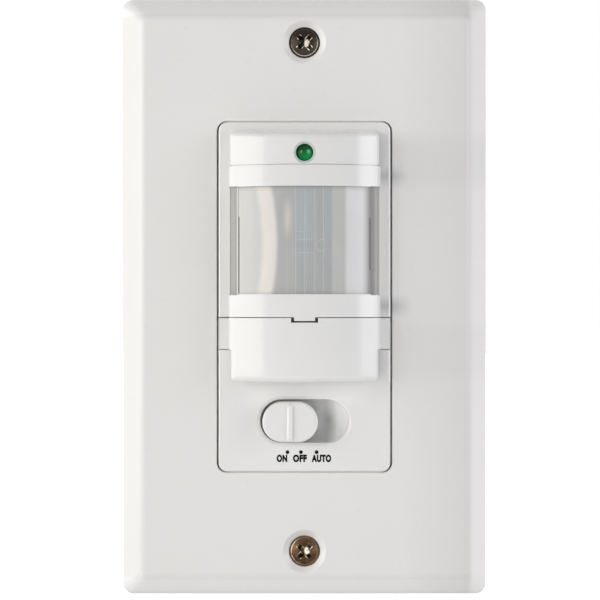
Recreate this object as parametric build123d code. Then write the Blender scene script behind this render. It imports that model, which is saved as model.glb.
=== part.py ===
from build123d import *
import math
import os

os.makedirs("parts", exist_ok=True)

# X points to the viewer's right, Y into the wall and Z up; the wall's surface is y = 0.
# Sizes called front, back or face are distances out from the wall, towards the viewer.

# Shared clearances and cutting
overrun = 1.0
hair = 0.01
snug = 0.05
slide_gap = 0.3
seam = 0.15

# Wall plate
plate_width = 69.85
plate_height = 114.3
plate_depth = 5.6
plate_wall = 2.2
plate_corner = 2.0
plate_skirt = 1.4
bevel_inset = 3.9
bevel_corner = 1.2
bevel_round = 1.6
skirt_round = 0.7
collar_wall = 1.4
opening_gap = 0.35
opening_end_gap = 0.25
opening_round = 0.25

# Screw pitches and the plate's screws
plate_screw_pitch = 96.84
box_screw_pitch = 83.34
thread_radius = 1.75
plate_head_radius = 2.95
plate_head_rise = 0.85
plate_head_sink = 0.75
plate_head_rim = 0.42
plate_rim_step = 0.12
plate_head_cone = 1.2
plate_shank_gap = 0.2
plate_screw_length = 12.5
dish_radius = 4.1
boss_radius = 3.0
point_chamfer = 0.6
cross_length = 3.5
cross_width = 0.85
cross_depth = 1.3
cross_foot_share = 0.5
cross_turn = 45

# Mounting strap
strap_thick = 1.2
strap_width = 42.5
strap_end_gap = 1.75
strap_middle_height = 69.0
strap_end_width = 22.0
strap_corner = 2.0
strap_window_width = 28.6
strap_window_height = 52.4
strap_notch_width = 17.0
strap_notch_height = 59.6
window_corner = 1.0
slot_length = 8.0
slot_width = 4.2
ear_radius = 5.3
ear_place = 13.5
ear_hole_radius = 2.1
earth_tab_thick = 1.3
earth_tab_depth = 9.4
earth_tab_height = 9.0
earth_tab_side = 9.8
earth_screw_depth = 5.0

# Box screws, their washers and the earth screw
box_head_radius = 3.3
box_head_height = 1.9
box_head_round = 0.9
box_neck_radius = 1.5
box_screw_reach = 24.0
washer_size = 8.4
washer_thick = 0.42
earth_head_radius = 3.6
earth_head_height = 2.6
earth_screw_radius = 2.05
earth_screw_length = 6.6
driver_slot_width = 0.9
driver_slot_depth = 1.0

# Bezel
bezel_width = 32.6
bezel_height = 66.4
bezel_face = 5.9
bezel_corner = 1.6
bezel_round = 0.35
bezel_wall = 2.1
bezel_skin = 1.6

# Dome: bands, hood and belt
band_half = 14.3
band_front = 14.0
dome_arc = 27.0
dome_corner = 1.5
dome_inner_corner = 0.3
dome_wall = 1.6
hood_inset = 0.25
belt_inset = 0.8
belt_side_inset = 0.2
hood_top = 31.7
hood_fall = 1.4
hood_round = 1.1
hood_groove = 0.22
hood_groove_depth = 0.25
hood_low = 24.5
window_top = 20.6
window_low = 0.5
window_half = 12.4
seam_height = -3.8
tab_width = 3.9
tab_drop = 0.7
tab_thick = 1.3

# Lens
lens_gap = 0.1
lens_flange = 1.3
lens_flange_thick = 0.8
lens_groove_pitch = 1.05
lens_groove_width = 0.3
lens_groove_depth = 0.12
lens_edge_half = 12.2
retainer_thick = 1.4
retainer_border = 2.2

# Heat sensor and daylight cell
sensor_height = 10.5
can_radius = 4.55
can_length = 4.2
can_flange_radius = 4.75
can_flange_thick = 0.5
can_round = 0.4
can_window_width = 4.2
can_window_height = 3.2
can_window_thick = 0.5
can_lead_radius = 0.23
can_lead_ring = 2.54
can_lead_angles = (45, 135, 270)
sensor_stand_length = 4.0
cell_place = 8.4
cell_height = 2.6
cell_radius = 2.5
cell_length = 2.0
cell_groove = 0.25
cell_rows = 5

# Status lamp
led_height = 26.85
led_radius = 1.55
led_proud = 0.4
led_length = 5.2
led_flange_radius = 1.9
led_flange_thick = 1.0
led_hole_radius = 1.93
led_hole_chamfer = 0.2
led_lead_radius = 0.25
led_lead_pitch = 2.0
led_stand_radius = 2.2

# Adjustment cover and its hinge
cover_bottom = -16.0
cover_wall = 1.4
cover_step = 0.4
cover_round = 1.2
cover_ear_low = -9.9
cover_ear_thick = 1.2
hinge_radius = 1.1
hinge_pin_radius = 0.7
hinge_ear_thick = 1.6
hinge_side_gap = 0.3
notch_width = 5.0
notch_depth = 0.85

# Adjusters
adjuster_pitch = 8.0
adjuster_height = -8.9
adjuster_body = 6.2
adjuster_body_depth = 3.2
adjuster_body_corner = 0.5
adjuster_shaft_radius = 1.4
adjuster_stub_radius = 1.0
adjuster_stub_length = 2.2
adjuster_head_radius = 2.45
adjuster_head_back = 4.4
adjuster_head_front = 7.6
adjuster_head_round = 0.3
adjuster_slot_width = 0.8
adjuster_slot_depth = 0.9
adjuster_flutes = 12
adjuster_flute_radius = 0.28

# Slide switch: recess, knob and what it drives
recess_height = -23.6
recess_width = 16.9
recess_tall = 8.3
recess_floor = 3.0
recess_round = 2.8
recess_rim = 0.2
recess_flare = 70
cup_wall = 1.2
switch_travel = 5.4
knob_width = 10.5
knob_tall = 7.6
knob_back = 5.6
knob_front = 9.3
knob_round = 0.5
rib_width = 0.95
rib_tall = 6.7
rib_rise = 0.45
rib_round = 0.2
stem_width = 2.4
stem_tall = 2.0
stem_shift = 2.2
carriage_width = 14.2
carriage_tall = 4.0
carriage_thick = 0.8
carriage_gap = 0.4
fork_thick = 0.9
fork_length = 1.3
slider_post = 2.0
slider_post_tall = 1.8
slider_base_width = 4.6
slider_base_tall = 3.8
slider_base_thick = 1.4
case_width = 12.6
case_tall = 5.6
case_height = 2.9
case_wall = 0.6
case_front_wall = 0.9

# Circuit boards and how they are held
board_thick = 1.6
sensor_board_depth = 4.0
sensor_board_width = 27.4
tongue_width = 16.0
tongue_top = 29.6
post_side = 11.8
post_top = 23.0
post_low = -19.0
post_radius = 1.9
post_root = 6.2
pilot_radius = 0.85
pilot_depth = 5.0
board_screw_radius = 0.8
board_head_radius = 1.6
board_head_height = 1.2
board_slot_width = 0.55
board_slot_depth = 0.6
board_gap = 4.0
board_side_gap = 0.45

# Parts on the boards; the shares are of the room between the side terminals
connector_width = 12.7
connector_tall = 2.5
connector_height = 16.5
connector_groove = 0.5
connector_ways = 5
chip_width = 9.9
chip_tall = 3.9
chip_thick = 1.6
chip_height = -6.0
chip_chamfer = 0.4
relay_width_share = 0.444
relay_tall = 29.0
relay_depth = 15.6
relay_round = 0.8
relay_lip = 0.35
right_column_share = 0.224
film_width_share = 0.297
film_tall = 17.5
film_depth = 14.2
film_height = -15.0
film_round = 0.7
tank_radius_share = 0.175
tank_depth = 14.0
tank_height = 1.5
tank_bead = 0.4
tank_bead_back = 2.0
disc_radius_share = 0.175
disc_thick = 4.0
disc_round = 1.0
disc_height = 12.0
disc_rise = 2.4
disc_lead_radius = 0.4
disc_lead_pitch = 5.0
choke_radius = 4.4
choke_core_radius = 2.4
choke_depth = 10.0
choke_rim = 1.2
choke_height = 20.4
fuse_radius = 4.1
fuse_depth = 7.7
fuse_height = -20.4
fuse_round = 0.6

# Rear housing and its screws
rear_height = 66.0
rear_depth = 30.0
rear_wall = 2.0
rear_corner = 2.5
rear_edge_round = 1.2
long_screw_side = 13.0
long_screw_height = 28.6
long_post_radius = 2.8
long_hole_radius = 1.5
long_screw_radius = 1.25
long_head_radius = 2.4
long_head_height = 1.6
long_slot_depth = 0.8
counterbore_depth = 2.4
counterbore_post_radius = 3.9
counterbore_post_depth = 4.6
long_boss_radius = 2.5
long_screw_grip = 2.6
ledge_side = 2.6
ledge_tall = 3.0
ledge_height = 21.5

# Side terminals
terminal_heights = (9.5, -9.5)
single_terminal_height = 0.0
pocket_front = 13.0
pocket_length = 10.4
pocket_half = 4.7
pocket_depth = 3.7
pocket_floor = 2.0
pocket_border = 1.5
terminal_thick = 1.0
terminal_gap = 0.2
tail_half = 1.5
tail_thick = 0.8
tail_reach = 3.2
terminal_head_radius = 3.4
terminal_head_height = 2.0
terminal_head_round = 0.5
terminal_screw_radius = 1.9
terminal_screw_length = 3.4

# Sizes that follow from the ones above
opening_width = bezel_width + 2 * opening_gap
opening_height = bezel_height + 2 * opening_end_gap
opening_corner = bezel_corner + opening_gap
strap_front = strap_thick
strap_height = plate_height - 2 * (plate_wall + strap_end_gap)
rear_width = strap_width
bezel_half = bezel_width / 2
dome_half = band_half - dome_wall
hinge_out = bezel_face + slide_gap + hinge_radius
hinge_height = cover_bottom + hinge_radius
cover_back = bezel_face + slide_gap
cover_top = seam_height - seam
cover_half = band_half - cover_step
cover_inner_half = cover_half - cover_wall
cover_ear_back = bezel_face - cover_ear_thick
hinge_ear_outer = cover_inner_half - hinge_side_gap
hinge_ear_inner = hinge_ear_outer - hinge_ear_thick
knob_rest = -switch_travel / 2
stem_rest = knob_rest - stem_shift
cup_back = recess_floor - cup_wall
carriage_front = cup_back - carriage_gap
carriage_back = carriage_front - carriage_thick
case_front = case_height - sensor_board_depth
board_rear = sensor_board_depth + board_thick
power_board_front = board_rear + board_gap
power_board_rear = power_board_front + board_thick
rear_inside = rear_depth - rear_wall
power_board_width = rear_width - 2 * (rear_wall + board_side_gap)
power_board_height = 2 * (long_screw_height - long_post_radius - slide_gap)
sensor_board_height = power_board_height
board_room = rear_width - 2 * (pocket_depth + tail_reach + snug)
relay_width = board_room * relay_width_share
left_column = relay_lip + relay_width / 2 - board_room / 2
right_column = board_room * right_column_share
film_width = board_room * film_width_share
tank_radius = board_room * tank_radius_share
disc_radius = board_room * disc_radius_share
adjuster_body_front = adjuster_body_depth - sensor_board_depth
led_tip = band_front - hood_inset + led_proud
led_base = led_tip - led_length


def facing(out):
    # a sketch plane that faces the viewer, this far out from the wall
    return Plane.XZ.offset(out)


def slab(outline, back, front):
    return extrude(facing(back) * outline, amount=front - back, dir=(0, -1, 0))


def block(left, right, back, front, low, high):
    middle = Pos((left + right) / 2, (low + high) / 2)
    return slab(middle * Rectangle(right - left, high - low), back, front)


def rod(radius, back, front, side=0, height=0):
    return slab(Pos(side, height) * Circle(radius), back, front)


def rod_across(radius, left, right, out, height):
    # a round bar that runs from left to right
    circle = Plane.YZ.offset(left) * Pos(-out, height) * Circle(radius)
    return extrude(circle, amount=right - left, dir=(1, 0, 0))


def turned(points, side=0, height=0):
    # a solid of revolution about a line along Y, from pairs of radius and distance out
    outline = make_face(Polyline([(radius, -out) for radius, out in points], close=True))
    return Pos(side, 0, height) * revolve(outline, axis=Axis.Y)


def prism(outline, low, high):
    return extrude(Plane.XY.offset(low) * outline, amount=high - low, dir=(0, 0, 1))


def dome_outline(half, front, arc, corner, back):
    # the plan of the dome: flat back, straight sides, round corners and a wide front arc
    side_out = front - arc + math.sqrt(arc**2 - half**2)
    left_back = (-half, -back)
    left_front = (-half, -side_out)
    right_front = (half, -side_out)
    right_back = (half, -back)
    edges = [
        Line(left_back, left_front),
        ThreePointArc(left_front, (0, -front), right_front),
        Line(right_front, right_back),
        Line(right_back, left_back),
    ]
    outline = make_face(edges)
    front_corners = outline.vertices().sort_by(Axis.Y)[:2]
    return fillet(front_corners, corner)


def cross_recess(side, height, mouth, turn):
    # a cross-shaped driver recess that narrows as it goes in
    bars = []
    for angle in (turn, turn + 90):
        place = Pos(side, height) * Rot(0, 0, angle)
        mouth_face = facing(mouth) * place * Rectangle(cross_length, cross_width)
        foot = Rectangle(cross_length * cross_foot_share, cross_width * cross_foot_share)
        bars.append(loft([mouth_face, facing(mouth - cross_depth) * place * foot]))
    return bars[0] + bars[1]


def pan(width, height, corner, skirt, depth, inset, top_corner):
    # a slab with a short square skirt and a sloping bevel up to its face
    base = slab(RectangleRounded(width, height, corner), 0, skirt)
    foot = facing(skirt) * RectangleRounded(width, height, corner)
    face = facing(depth) * RectangleRounded(width - 2 * inset, height - 2 * inset, top_corner)
    return base + loft([foot, face], ruled=True)


def wall_plate():
    body = pan(
        plate_width, plate_height, plate_corner, plate_skirt, plate_depth, bevel_inset, bevel_corner
    )
    face_edges = body.edges().group_by(Axis.Y)[0]
    body = fillet(face_edges, bevel_round)
    skirt_edges = [e for e in body.edges() if abs(e.center().Y + plate_skirt) < hair]
    body = fillet(skirt_edges, skirt_round)
    hollow = pan(
        plate_width - 2 * plate_wall,
        plate_height - 2 * plate_wall,
        plate_corner,
        plate_skirt,
        plate_depth - plate_wall,
        bevel_inset - plate_wall / 2,
        bevel_corner,
    )
    body -= hollow
    collar = RectangleRounded(
        opening_width + 2 * collar_wall, opening_height + 2 * collar_wall, opening_corner + collar_wall
    )
    body += slab(collar, strap_front, plate_depth - plate_wall)
    for height in (plate_screw_pitch / 2, -plate_screw_pitch / 2):
        body += rod(boss_radius, strap_front, plate_depth - plate_wall, 0, height)
    opening = RectangleRounded(opening_width, opening_height, opening_corner)
    body -= slab(opening, 0, plate_depth + overrun)
    rim = [
        e
        for e in body.edges()
        if abs(e.center().Y + plate_depth) < hair and abs(e.center().Z) <= opening_height / 2 + hair
        and abs(e.center().X) <= opening_width / 2 + hair
    ]
    body = fillet(rim, opening_round)
    seat_radius = plate_head_radius + snug
    hole_radius = thread_radius + plate_shank_gap
    seat_front = plate_depth - plate_head_sink
    seat_back = seat_front - plate_head_cone
    for height in (plate_screw_pitch / 2, -plate_screw_pitch / 2):
        hole = [
            (0, strap_front - overrun),
            (hole_radius, strap_front - overrun),
            (hole_radius, seat_back),
            (seat_radius, seat_front),
            (dish_radius, plate_depth),
            (dish_radius, plate_depth + overrun),
            (0, plate_depth + overrun),
        ]
        body -= turned(hole, 0, height)
    return body


def plate_screw(height):
    seat_front = plate_depth - plate_head_sink
    seat_back = seat_front - plate_head_cone
    tip = plate_depth - plate_screw_length
    crown = seat_front + plate_head_rise
    dome_radius = plate_head_radius - plate_head_rim
    dome_foot = seat_front + plate_rim_step
    axis_back = (0, -tip)
    edges = [
        Line(axis_back, (thread_radius - point_chamfer, -tip)),
        Line((thread_radius - point_chamfer, -tip), (thread_radius, -tip - point_chamfer)),
        Line((thread_radius, -tip - point_chamfer), (thread_radius, -seat_back)),
        Line((thread_radius, -seat_back), (plate_head_radius, -seat_front)),
        Line((plate_head_radius, -seat_front), (dome_radius, -seat_front)),
        Line((dome_radius, -seat_front), (dome_radius, -dome_foot)),
        ThreePointArc(
            (dome_radius, -dome_foot),
            (dome_radius * math.sin(math.pi / 4), -(dome_foot + crown) / 2),
            (0, -crown),
        ),
        Line((0, -crown), axis_back),
    ]
    blank = Pos(0, 0, height) * revolve(make_face(edges), axis=Axis.Y)
    return blank - cross_recess(0, height, crown + hair, cross_turn)


def plate_screws():
    return plate_screw(plate_screw_pitch / 2) + plate_screw(-plate_screw_pitch / 2)


def mounting_strap():
    outline = RectangleRounded(strap_width, strap_middle_height, strap_corner)
    outline += RectangleRounded(strap_end_width, strap_height, strap_corner)
    for height in (box_screw_pitch / 2, -box_screw_pitch / 2):
        for side in (ear_place, -ear_place):
            outline += Pos(side, height) * Circle(ear_radius)
            outline -= Pos(side, height) * Circle(ear_hole_radius)
        outline -= Pos(0, height) * SlotOverall(slot_length, slot_width)
    for height in (plate_screw_pitch / 2, -plate_screw_pitch / 2):
        outline -= Pos(0, height) * Circle(thread_radius + snug)
    outline -= RectangleRounded(strap_window_width, strap_window_height, window_corner)
    outline -= RectangleRounded(strap_notch_width, strap_notch_height, window_corner)
    for side in (long_screw_side, -long_screw_side):
        for height in (long_screw_height, -long_screw_height):
            outline -= Pos(side, height) * Circle(long_hole_radius)
    body = slab(outline, 0, strap_front)
    tab_middle = -box_screw_pitch / 2
    tab_low = tab_middle - earth_tab_height / 2
    tab_high = tab_middle + earth_tab_height / 2
    tab_left = -earth_tab_side - earth_tab_thick
    body += block(tab_left, -earth_tab_side, -earth_tab_depth, strap_front, tab_low, tab_high)
    hole_radius = earth_screw_radius + snug
    body -= rod_across(
        hole_radius, tab_left - overrun, overrun - earth_tab_side, -earth_screw_depth, tab_middle
    )
    return body


def box_screw(height):
    head_front = strap_front + box_head_height
    neck_back = -washer_thick - snug
    profile = [
        (0, -box_screw_reach),
        (thread_radius - point_chamfer, -box_screw_reach),
        (thread_radius, point_chamfer - box_screw_reach),
        (thread_radius, neck_back),
        (box_neck_radius, neck_back),
        (box_neck_radius, strap_front),
        (box_head_radius, strap_front),
        (box_head_radius, head_front - box_head_round),
        (box_head_radius - box_head_round / 2, head_front - box_head_round / 4),
        (box_head_radius - box_head_round, head_front),
        (0, head_front),
    ]
    return turned(profile, 0, height) - cross_recess(0, height, head_front + hair, 0)


def box_screws():
    return box_screw(box_screw_pitch / 2) + box_screw(-box_screw_pitch / 2)


def screw_retainers():
    washers = []
    for height in (box_screw_pitch / 2, -box_screw_pitch / 2):
        outline = RectangleRounded(washer_size, washer_size, window_corner)
        outline -= Circle(box_neck_radius + snug)
        washers.append(slab(Pos(0, height) * outline, -washer_thick, 0))
    return washers[0] + washers[1]


def ground_screw():
    middle = -box_screw_pitch / 2
    seat = -earth_tab_side - earth_tab_thick
    head_left = seat - earth_head_height
    out = -earth_screw_depth
    head_plane = Plane.YZ.offset(head_left) * Pos(-out, middle)
    head = extrude(
        head_plane * RegularPolygon(earth_head_radius, 6), amount=earth_head_height, dir=(1, 0, 0)
    )
    shank = rod_across(earth_screw_radius, seat, seat + earth_screw_length, out, middle)
    slot = block(
        head_left - overrun,
        head_left + driver_slot_depth,
        out - driver_slot_width / 2,
        out + driver_slot_width / 2,
        middle - earth_head_radius - overrun,
        middle + earth_head_radius + overrun,
    )
    return head + shank - slot


def dome_shell(low, high, inset, side_inset):
    outline = dome_outline(
        band_half - side_inset,
        band_front - inset,
        dome_arc - inset,
        dome_corner - side_inset,
        bezel_face - overrun,
    )
    return prism(outline, low, high)


def hood():
    # the hood's roof falls towards the front, and a fine groove runs round its foot
    body = dome_shell(hood_low + hood_groove - hair, hood_top + overrun, hood_inset, hood_inset)
    groove_inset = hood_inset + hood_groove_depth
    body += dome_shell(hood_low - hair, hood_low + hood_groove, groove_inset, groove_inset)
    fall_rate = hood_fall / (band_front - bezel_face)
    front = band_front + overrun
    roof = [
        (0, hood_top + fall_rate * bezel_face),
        (-front, hood_top - fall_rate * (front - bezel_face)),
        (-front, 2 * hood_top),
        (0, 2 * hood_top),
    ]
    wedge = Plane.YZ.offset(-band_half) * make_face(Polyline(roof, close=True))
    body -= extrude(wedge, amount=2 * band_half, dir=(1, 0, 0))
    top_edges = []
    for edge in body.edges():
        middle = edge @ 0.5
        out = -middle.Y
        roof_height = hood_top - fall_rate * (out - bezel_face)
        if out > bezel_face and abs(middle.Z - roof_height) < hair:
            top_edges.append(edge)
    return fillet(top_edges, hood_round)


def switch_cup(radial, back, front):
    outline = SlotOverall(recess_width + 2 * radial, recess_tall + 2 * radial)
    return slab(Pos(0, recess_height) * outline, back, front)


def switch_recess():
    # the scooped recess that the knob slides in, with a soft rim
    scoop = switch_cup(0, recess_floor, bezel_face + overrun)
    scoop = fillet(scoop.edges().group_by(Axis.Y)[-1], recess_round)
    rim = facing(bezel_face - recess_rim) * Pos(0, recess_height)
    rim *= SlotOverall(recess_width, recess_tall)
    scoop += extrude(rim, amount=recess_rim + hair, dir=(0, -1, 0), taper=-recess_flare)
    slot_half = switch_travel / 2 + stem_width / 2 + slide_gap
    slot_tall = stem_tall / 2 + slide_gap
    return scoop + block(
        -stem_shift - slot_half,
        slot_half - stem_shift,
        cup_back - overrun,
        recess_floor + recess_round,
        recess_height - slot_tall,
        recess_height + slot_tall,
    )


def hinge_ear(left):
    ear = rod_across(hinge_radius, left, left + hinge_ear_thick, hinge_out, hinge_height)
    ear += block(
        left,
        left + hinge_ear_thick,
        bezel_face - hair,
        hinge_out,
        hinge_height - hinge_radius,
        hinge_height + hinge_radius,
    )
    hole_left = left - overrun
    hole_right = left + hinge_ear_thick + overrun
    return ear - rod_across(hinge_pin_radius + snug, hole_left, hole_right, hinge_out, hinge_height)


def front_housing():
    body = slab(RectangleRounded(bezel_width, bezel_height, bezel_corner), strap_front, bezel_face)
    body = fillet(body.faces().sort_by(Axis.Y)[0].edges(), bezel_round)
    body += dome_shell(seam_height, window_low, 0, 0)
    body += dome_shell(window_low, window_top, belt_inset, belt_side_inset)
    body += dome_shell(window_top, hood_low, 0, 0)
    body += hood()
    tab_back = band_front - tab_thick
    tab_low = seam_height - tab_drop
    tab_block = block(
        -tab_width / 2, tab_width / 2, tab_back, band_front, tab_low, seam_height + tab_drop
    )
    body += tab_block & dome_shell(tab_low, hood_low, 0, 0)
    hollow = RectangleRounded(
        bezel_width - 2 * bezel_wall, bezel_height - 2 * bezel_wall, bezel_corner
    )
    body -= slab(hollow, 0, bezel_face - bezel_skin)
    cavity = dome_outline(
        dome_half, band_front - dome_wall, dome_arc - dome_wall, dome_inner_corner, 0
    )
    body -= prism(cavity, seam_height + dome_wall, hood_top - hood_fall - dome_wall)
    body -= rod(led_stand_radius + slide_gap, 0, led_base, 0, led_height)
    body -= block(
        -window_half,
        window_half,
        bezel_face + overrun,
        band_front + overrun,
        window_low,
        window_top,
    )
    # pads, ear seats and the hinge of the adjustment cover
    seat_back = cover_ear_back - slide_gap
    seat_low = cover_ear_low - seam
    pad_back = seat_back - bezel_skin
    pad_inner = cover_inner_half - slide_gap
    for hand in (1, -1):
        sides = sorted((hand * (pad_inner - bezel_skin), hand * (bezel_half - bezel_wall / 2)))
        body += block(*sides, pad_back, bezel_face - hair, seat_low - bezel_skin, seam_height)
        sides = sorted((hand * pad_inner, hand * (bezel_half + overrun)))
        body -= block(*sides, seat_back, bezel_face + overrun, seat_low, seam_height)
    body += hinge_ear(hinge_ear_inner)
    body += hinge_ear(-hinge_ear_outer)
    # holes for the lamp and the adjusters
    led_face = band_front - hood_inset
    body -= rod(led_hole_radius, bezel_face, led_face + overrun, 0, led_height)
    chamfer_ring = [
        (0, led_face - led_hole_chamfer),
        (led_hole_radius, led_face - led_hole_chamfer),
        (led_hole_radius + 2 * led_hole_chamfer, led_face + led_hole_chamfer),
        (0, led_face + led_hole_chamfer),
    ]
    body -= turned(chamfer_ring, 0, led_height)
    for place in (-adjuster_pitch, 0, adjuster_pitch):
        hole_radius = adjuster_head_radius + slide_gap
        body -= rod(hole_radius, strap_front, bezel_face + overrun, place, adjuster_height)
    # the switch's recess in its cup
    body += switch_cup(cup_wall, cup_back, bezel_face - hair)
    body -= switch_recess()
    # bosses for the long screws and posts for the board
    for side in (long_screw_side, -long_screw_side):
        for height in (long_screw_height, -long_screw_height):
            body += rod(long_boss_radius, strap_front, bezel_face - hair, side, height)
            body -= rod(
                long_screw_radius + snug,
                strap_front - overrun,
                strap_front + long_screw_grip + slide_gap,
                side,
                height,
            )
    for side in (post_side, -post_side):
        for height in (post_top, post_low):
            root = post_root if height > 0 else bezel_face - hair
            body += rod(post_radius, -sensor_board_depth, root, side, height)
            body -= rod(
                pilot_radius,
                -sensor_board_depth - overrun,
                pilot_depth - sensor_board_depth,
                side,
                height,
            )
    return body


def sheet(front, thick, half, low, high):
    # a piece of curved sheet, cut square at its ends, that follows the dome's front arc
    arc = dome_arc - (band_front - front)
    outer = Pos(0, arc - front) * Circle(arc)
    inner = Pos(0, arc - front) * Circle(arc - thick)
    side_out = front - arc + math.sqrt(arc**2 - half**2)
    keep = Pos(0, -(front + side_out - thick - overrun) / 2)
    keep *= Rectangle(2 * half, front - side_out + thick + overrun)
    return prism((outer - inner) & keep, low, high)


def sensor_lens():
    plug_front = band_front - belt_inset
    flange_front = band_front - dome_wall - snug
    flange_half = lens_edge_half
    plug = sheet(
        plug_front,
        plug_front - flange_front + hair,
        window_half - lens_gap,
        window_low + lens_gap,
        window_top - lens_gap,
    )
    body = plug + sheet(
        flange_front,
        lens_flange_thick,
        flange_half,
        window_low - lens_flange,
        window_top + lens_flange,
    )
    # fine upright grooves on the inside, on both sides of a plain middle
    inner_arc = dome_arc - (band_front - flange_front) - lens_flange_thick
    centre = dome_arc - band_front
    step = lens_groove_pitch / inner_arc
    count = int(math.asin((flange_half - lens_groove_pitch) / inner_arc) / step)
    for number in range(-count, count + 1):
        angle = number * step
        radius = inner_arc + lens_groove_depth / 2
        groove = Pos(radius * math.sin(angle), centre - radius * math.cos(angle))
        groove *= Rot(0, 0, math.degrees(angle))
        groove *= Rectangle(lens_groove_width, lens_groove_depth)
        body -= prism(groove, window_low, window_top)
    return body


def lens_retainer():
    front = band_front - dome_wall - lens_flange_thick - 2 * snug
    low = window_low - lens_flange
    high = window_top + lens_flange
    half = lens_edge_half
    body = sheet(front, retainer_thick, half, low, high)
    body -= block(
        retainer_border - half,
        half - retainer_border,
        0,
        band_front,
        low + retainer_border,
        high - retainer_border,
    )
    return body


def sensor_spacer():
    body = rod(can_radius, -sensor_board_depth, sensor_stand_length - sensor_board_depth, 0, sensor_height)
    for angle in can_lead_angles:
        side = can_lead_ring * math.cos(math.radians(angle))
        height = sensor_height + can_lead_ring * math.sin(math.radians(angle))
        hole = can_lead_radius + snug
        body -= rod(
            hole,
            -sensor_board_depth - overrun,
            sensor_stand_length - sensor_board_depth + overrun,
            side,
            height,
        )
    return body


def pyro_sensor():
    base = sensor_stand_length - sensor_board_depth
    front = base + can_length
    profile = [
        (0, base),
        (can_flange_radius, base),
        (can_flange_radius, base + can_flange_thick),
        (can_radius, base + can_flange_thick),
        (can_radius, front - can_round),
        (can_radius - can_round, front),
        (0, front),
    ]
    body = turned(profile, 0, sensor_height)
    body -= block(
        -can_window_width / 2,
        can_window_width / 2,
        front - can_window_thick,
        front + overrun,
        sensor_height - can_window_height / 2,
        sensor_height + can_window_height / 2,
    )
    for angle in can_lead_angles:
        side = can_lead_ring * math.cos(math.radians(angle))
        height = sensor_height + can_lead_ring * math.sin(math.radians(angle))
        body += rod(can_lead_radius, -sensor_board_depth, base + hair, side, height)
    return body


def pyro_window():
    front = sensor_stand_length - sensor_board_depth + can_length
    half_width = can_window_width / 2 - snug
    half_height = can_window_height / 2 - snug
    return block(
        -half_width,
        half_width,
        front - can_window_thick,
        front - snug,
        sensor_height - half_height,
        sensor_height + half_height,
    )


def light_sensor():
    front = cell_length - sensor_board_depth
    body = rod(cell_radius, -sensor_board_depth, front, cell_place, cell_height)
    # the winding track across the cell's face
    pitch = 2 * cell_radius / (cell_rows + 1)
    for row in range(cell_rows):
        height = cell_height - cell_radius + pitch * (row + 1)
        shift = pitch / 2 if row % 2 else -pitch / 2
        half = cell_radius - pitch
        body -= block(
            cell_place + shift - half,
            cell_place + shift + half,
            front - cell_groove,
            front + overrun,
            height - cell_groove / 2,
            height + cell_groove / 2,
        )
    return body


def status_led():
    dome_base = led_tip - led_radius
    middle = led_radius * math.sin(math.pi / 4)
    edges = [
        Line((0, -led_base), (led_flange_radius, -led_base)),
        Line((led_flange_radius, -led_base), (led_flange_radius, -led_base - led_flange_thick)),
        Line((led_flange_radius, -led_base - led_flange_thick), (led_radius, -led_base - led_flange_thick)),
        Line((led_radius, -led_base - led_flange_thick), (led_radius, -dome_base)),
        ThreePointArc((led_radius, -dome_base), (middle, -dome_base - middle), (0, -led_tip)),
        Line((0, -led_tip), (0, -led_base)),
    ]
    return Pos(0, 0, led_height) * revolve(make_face(edges), axis=Axis.Y)


def led_leads():
    leads = []
    for side in (led_lead_pitch / 2, -led_lead_pitch / 2):
        leads.append(rod(led_lead_radius, -sensor_board_depth, led_base, side, led_height))
    return leads[0] + leads[1]


def led_spacer():
    body = rod(led_stand_radius, -sensor_board_depth, led_base, 0, led_height)
    for side in (led_lead_pitch / 2, -led_lead_pitch / 2):
        hole = led_lead_radius + snug
        body -= rod(hole, -sensor_board_depth - overrun, led_base + overrun, side, led_height)
    return body


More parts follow.
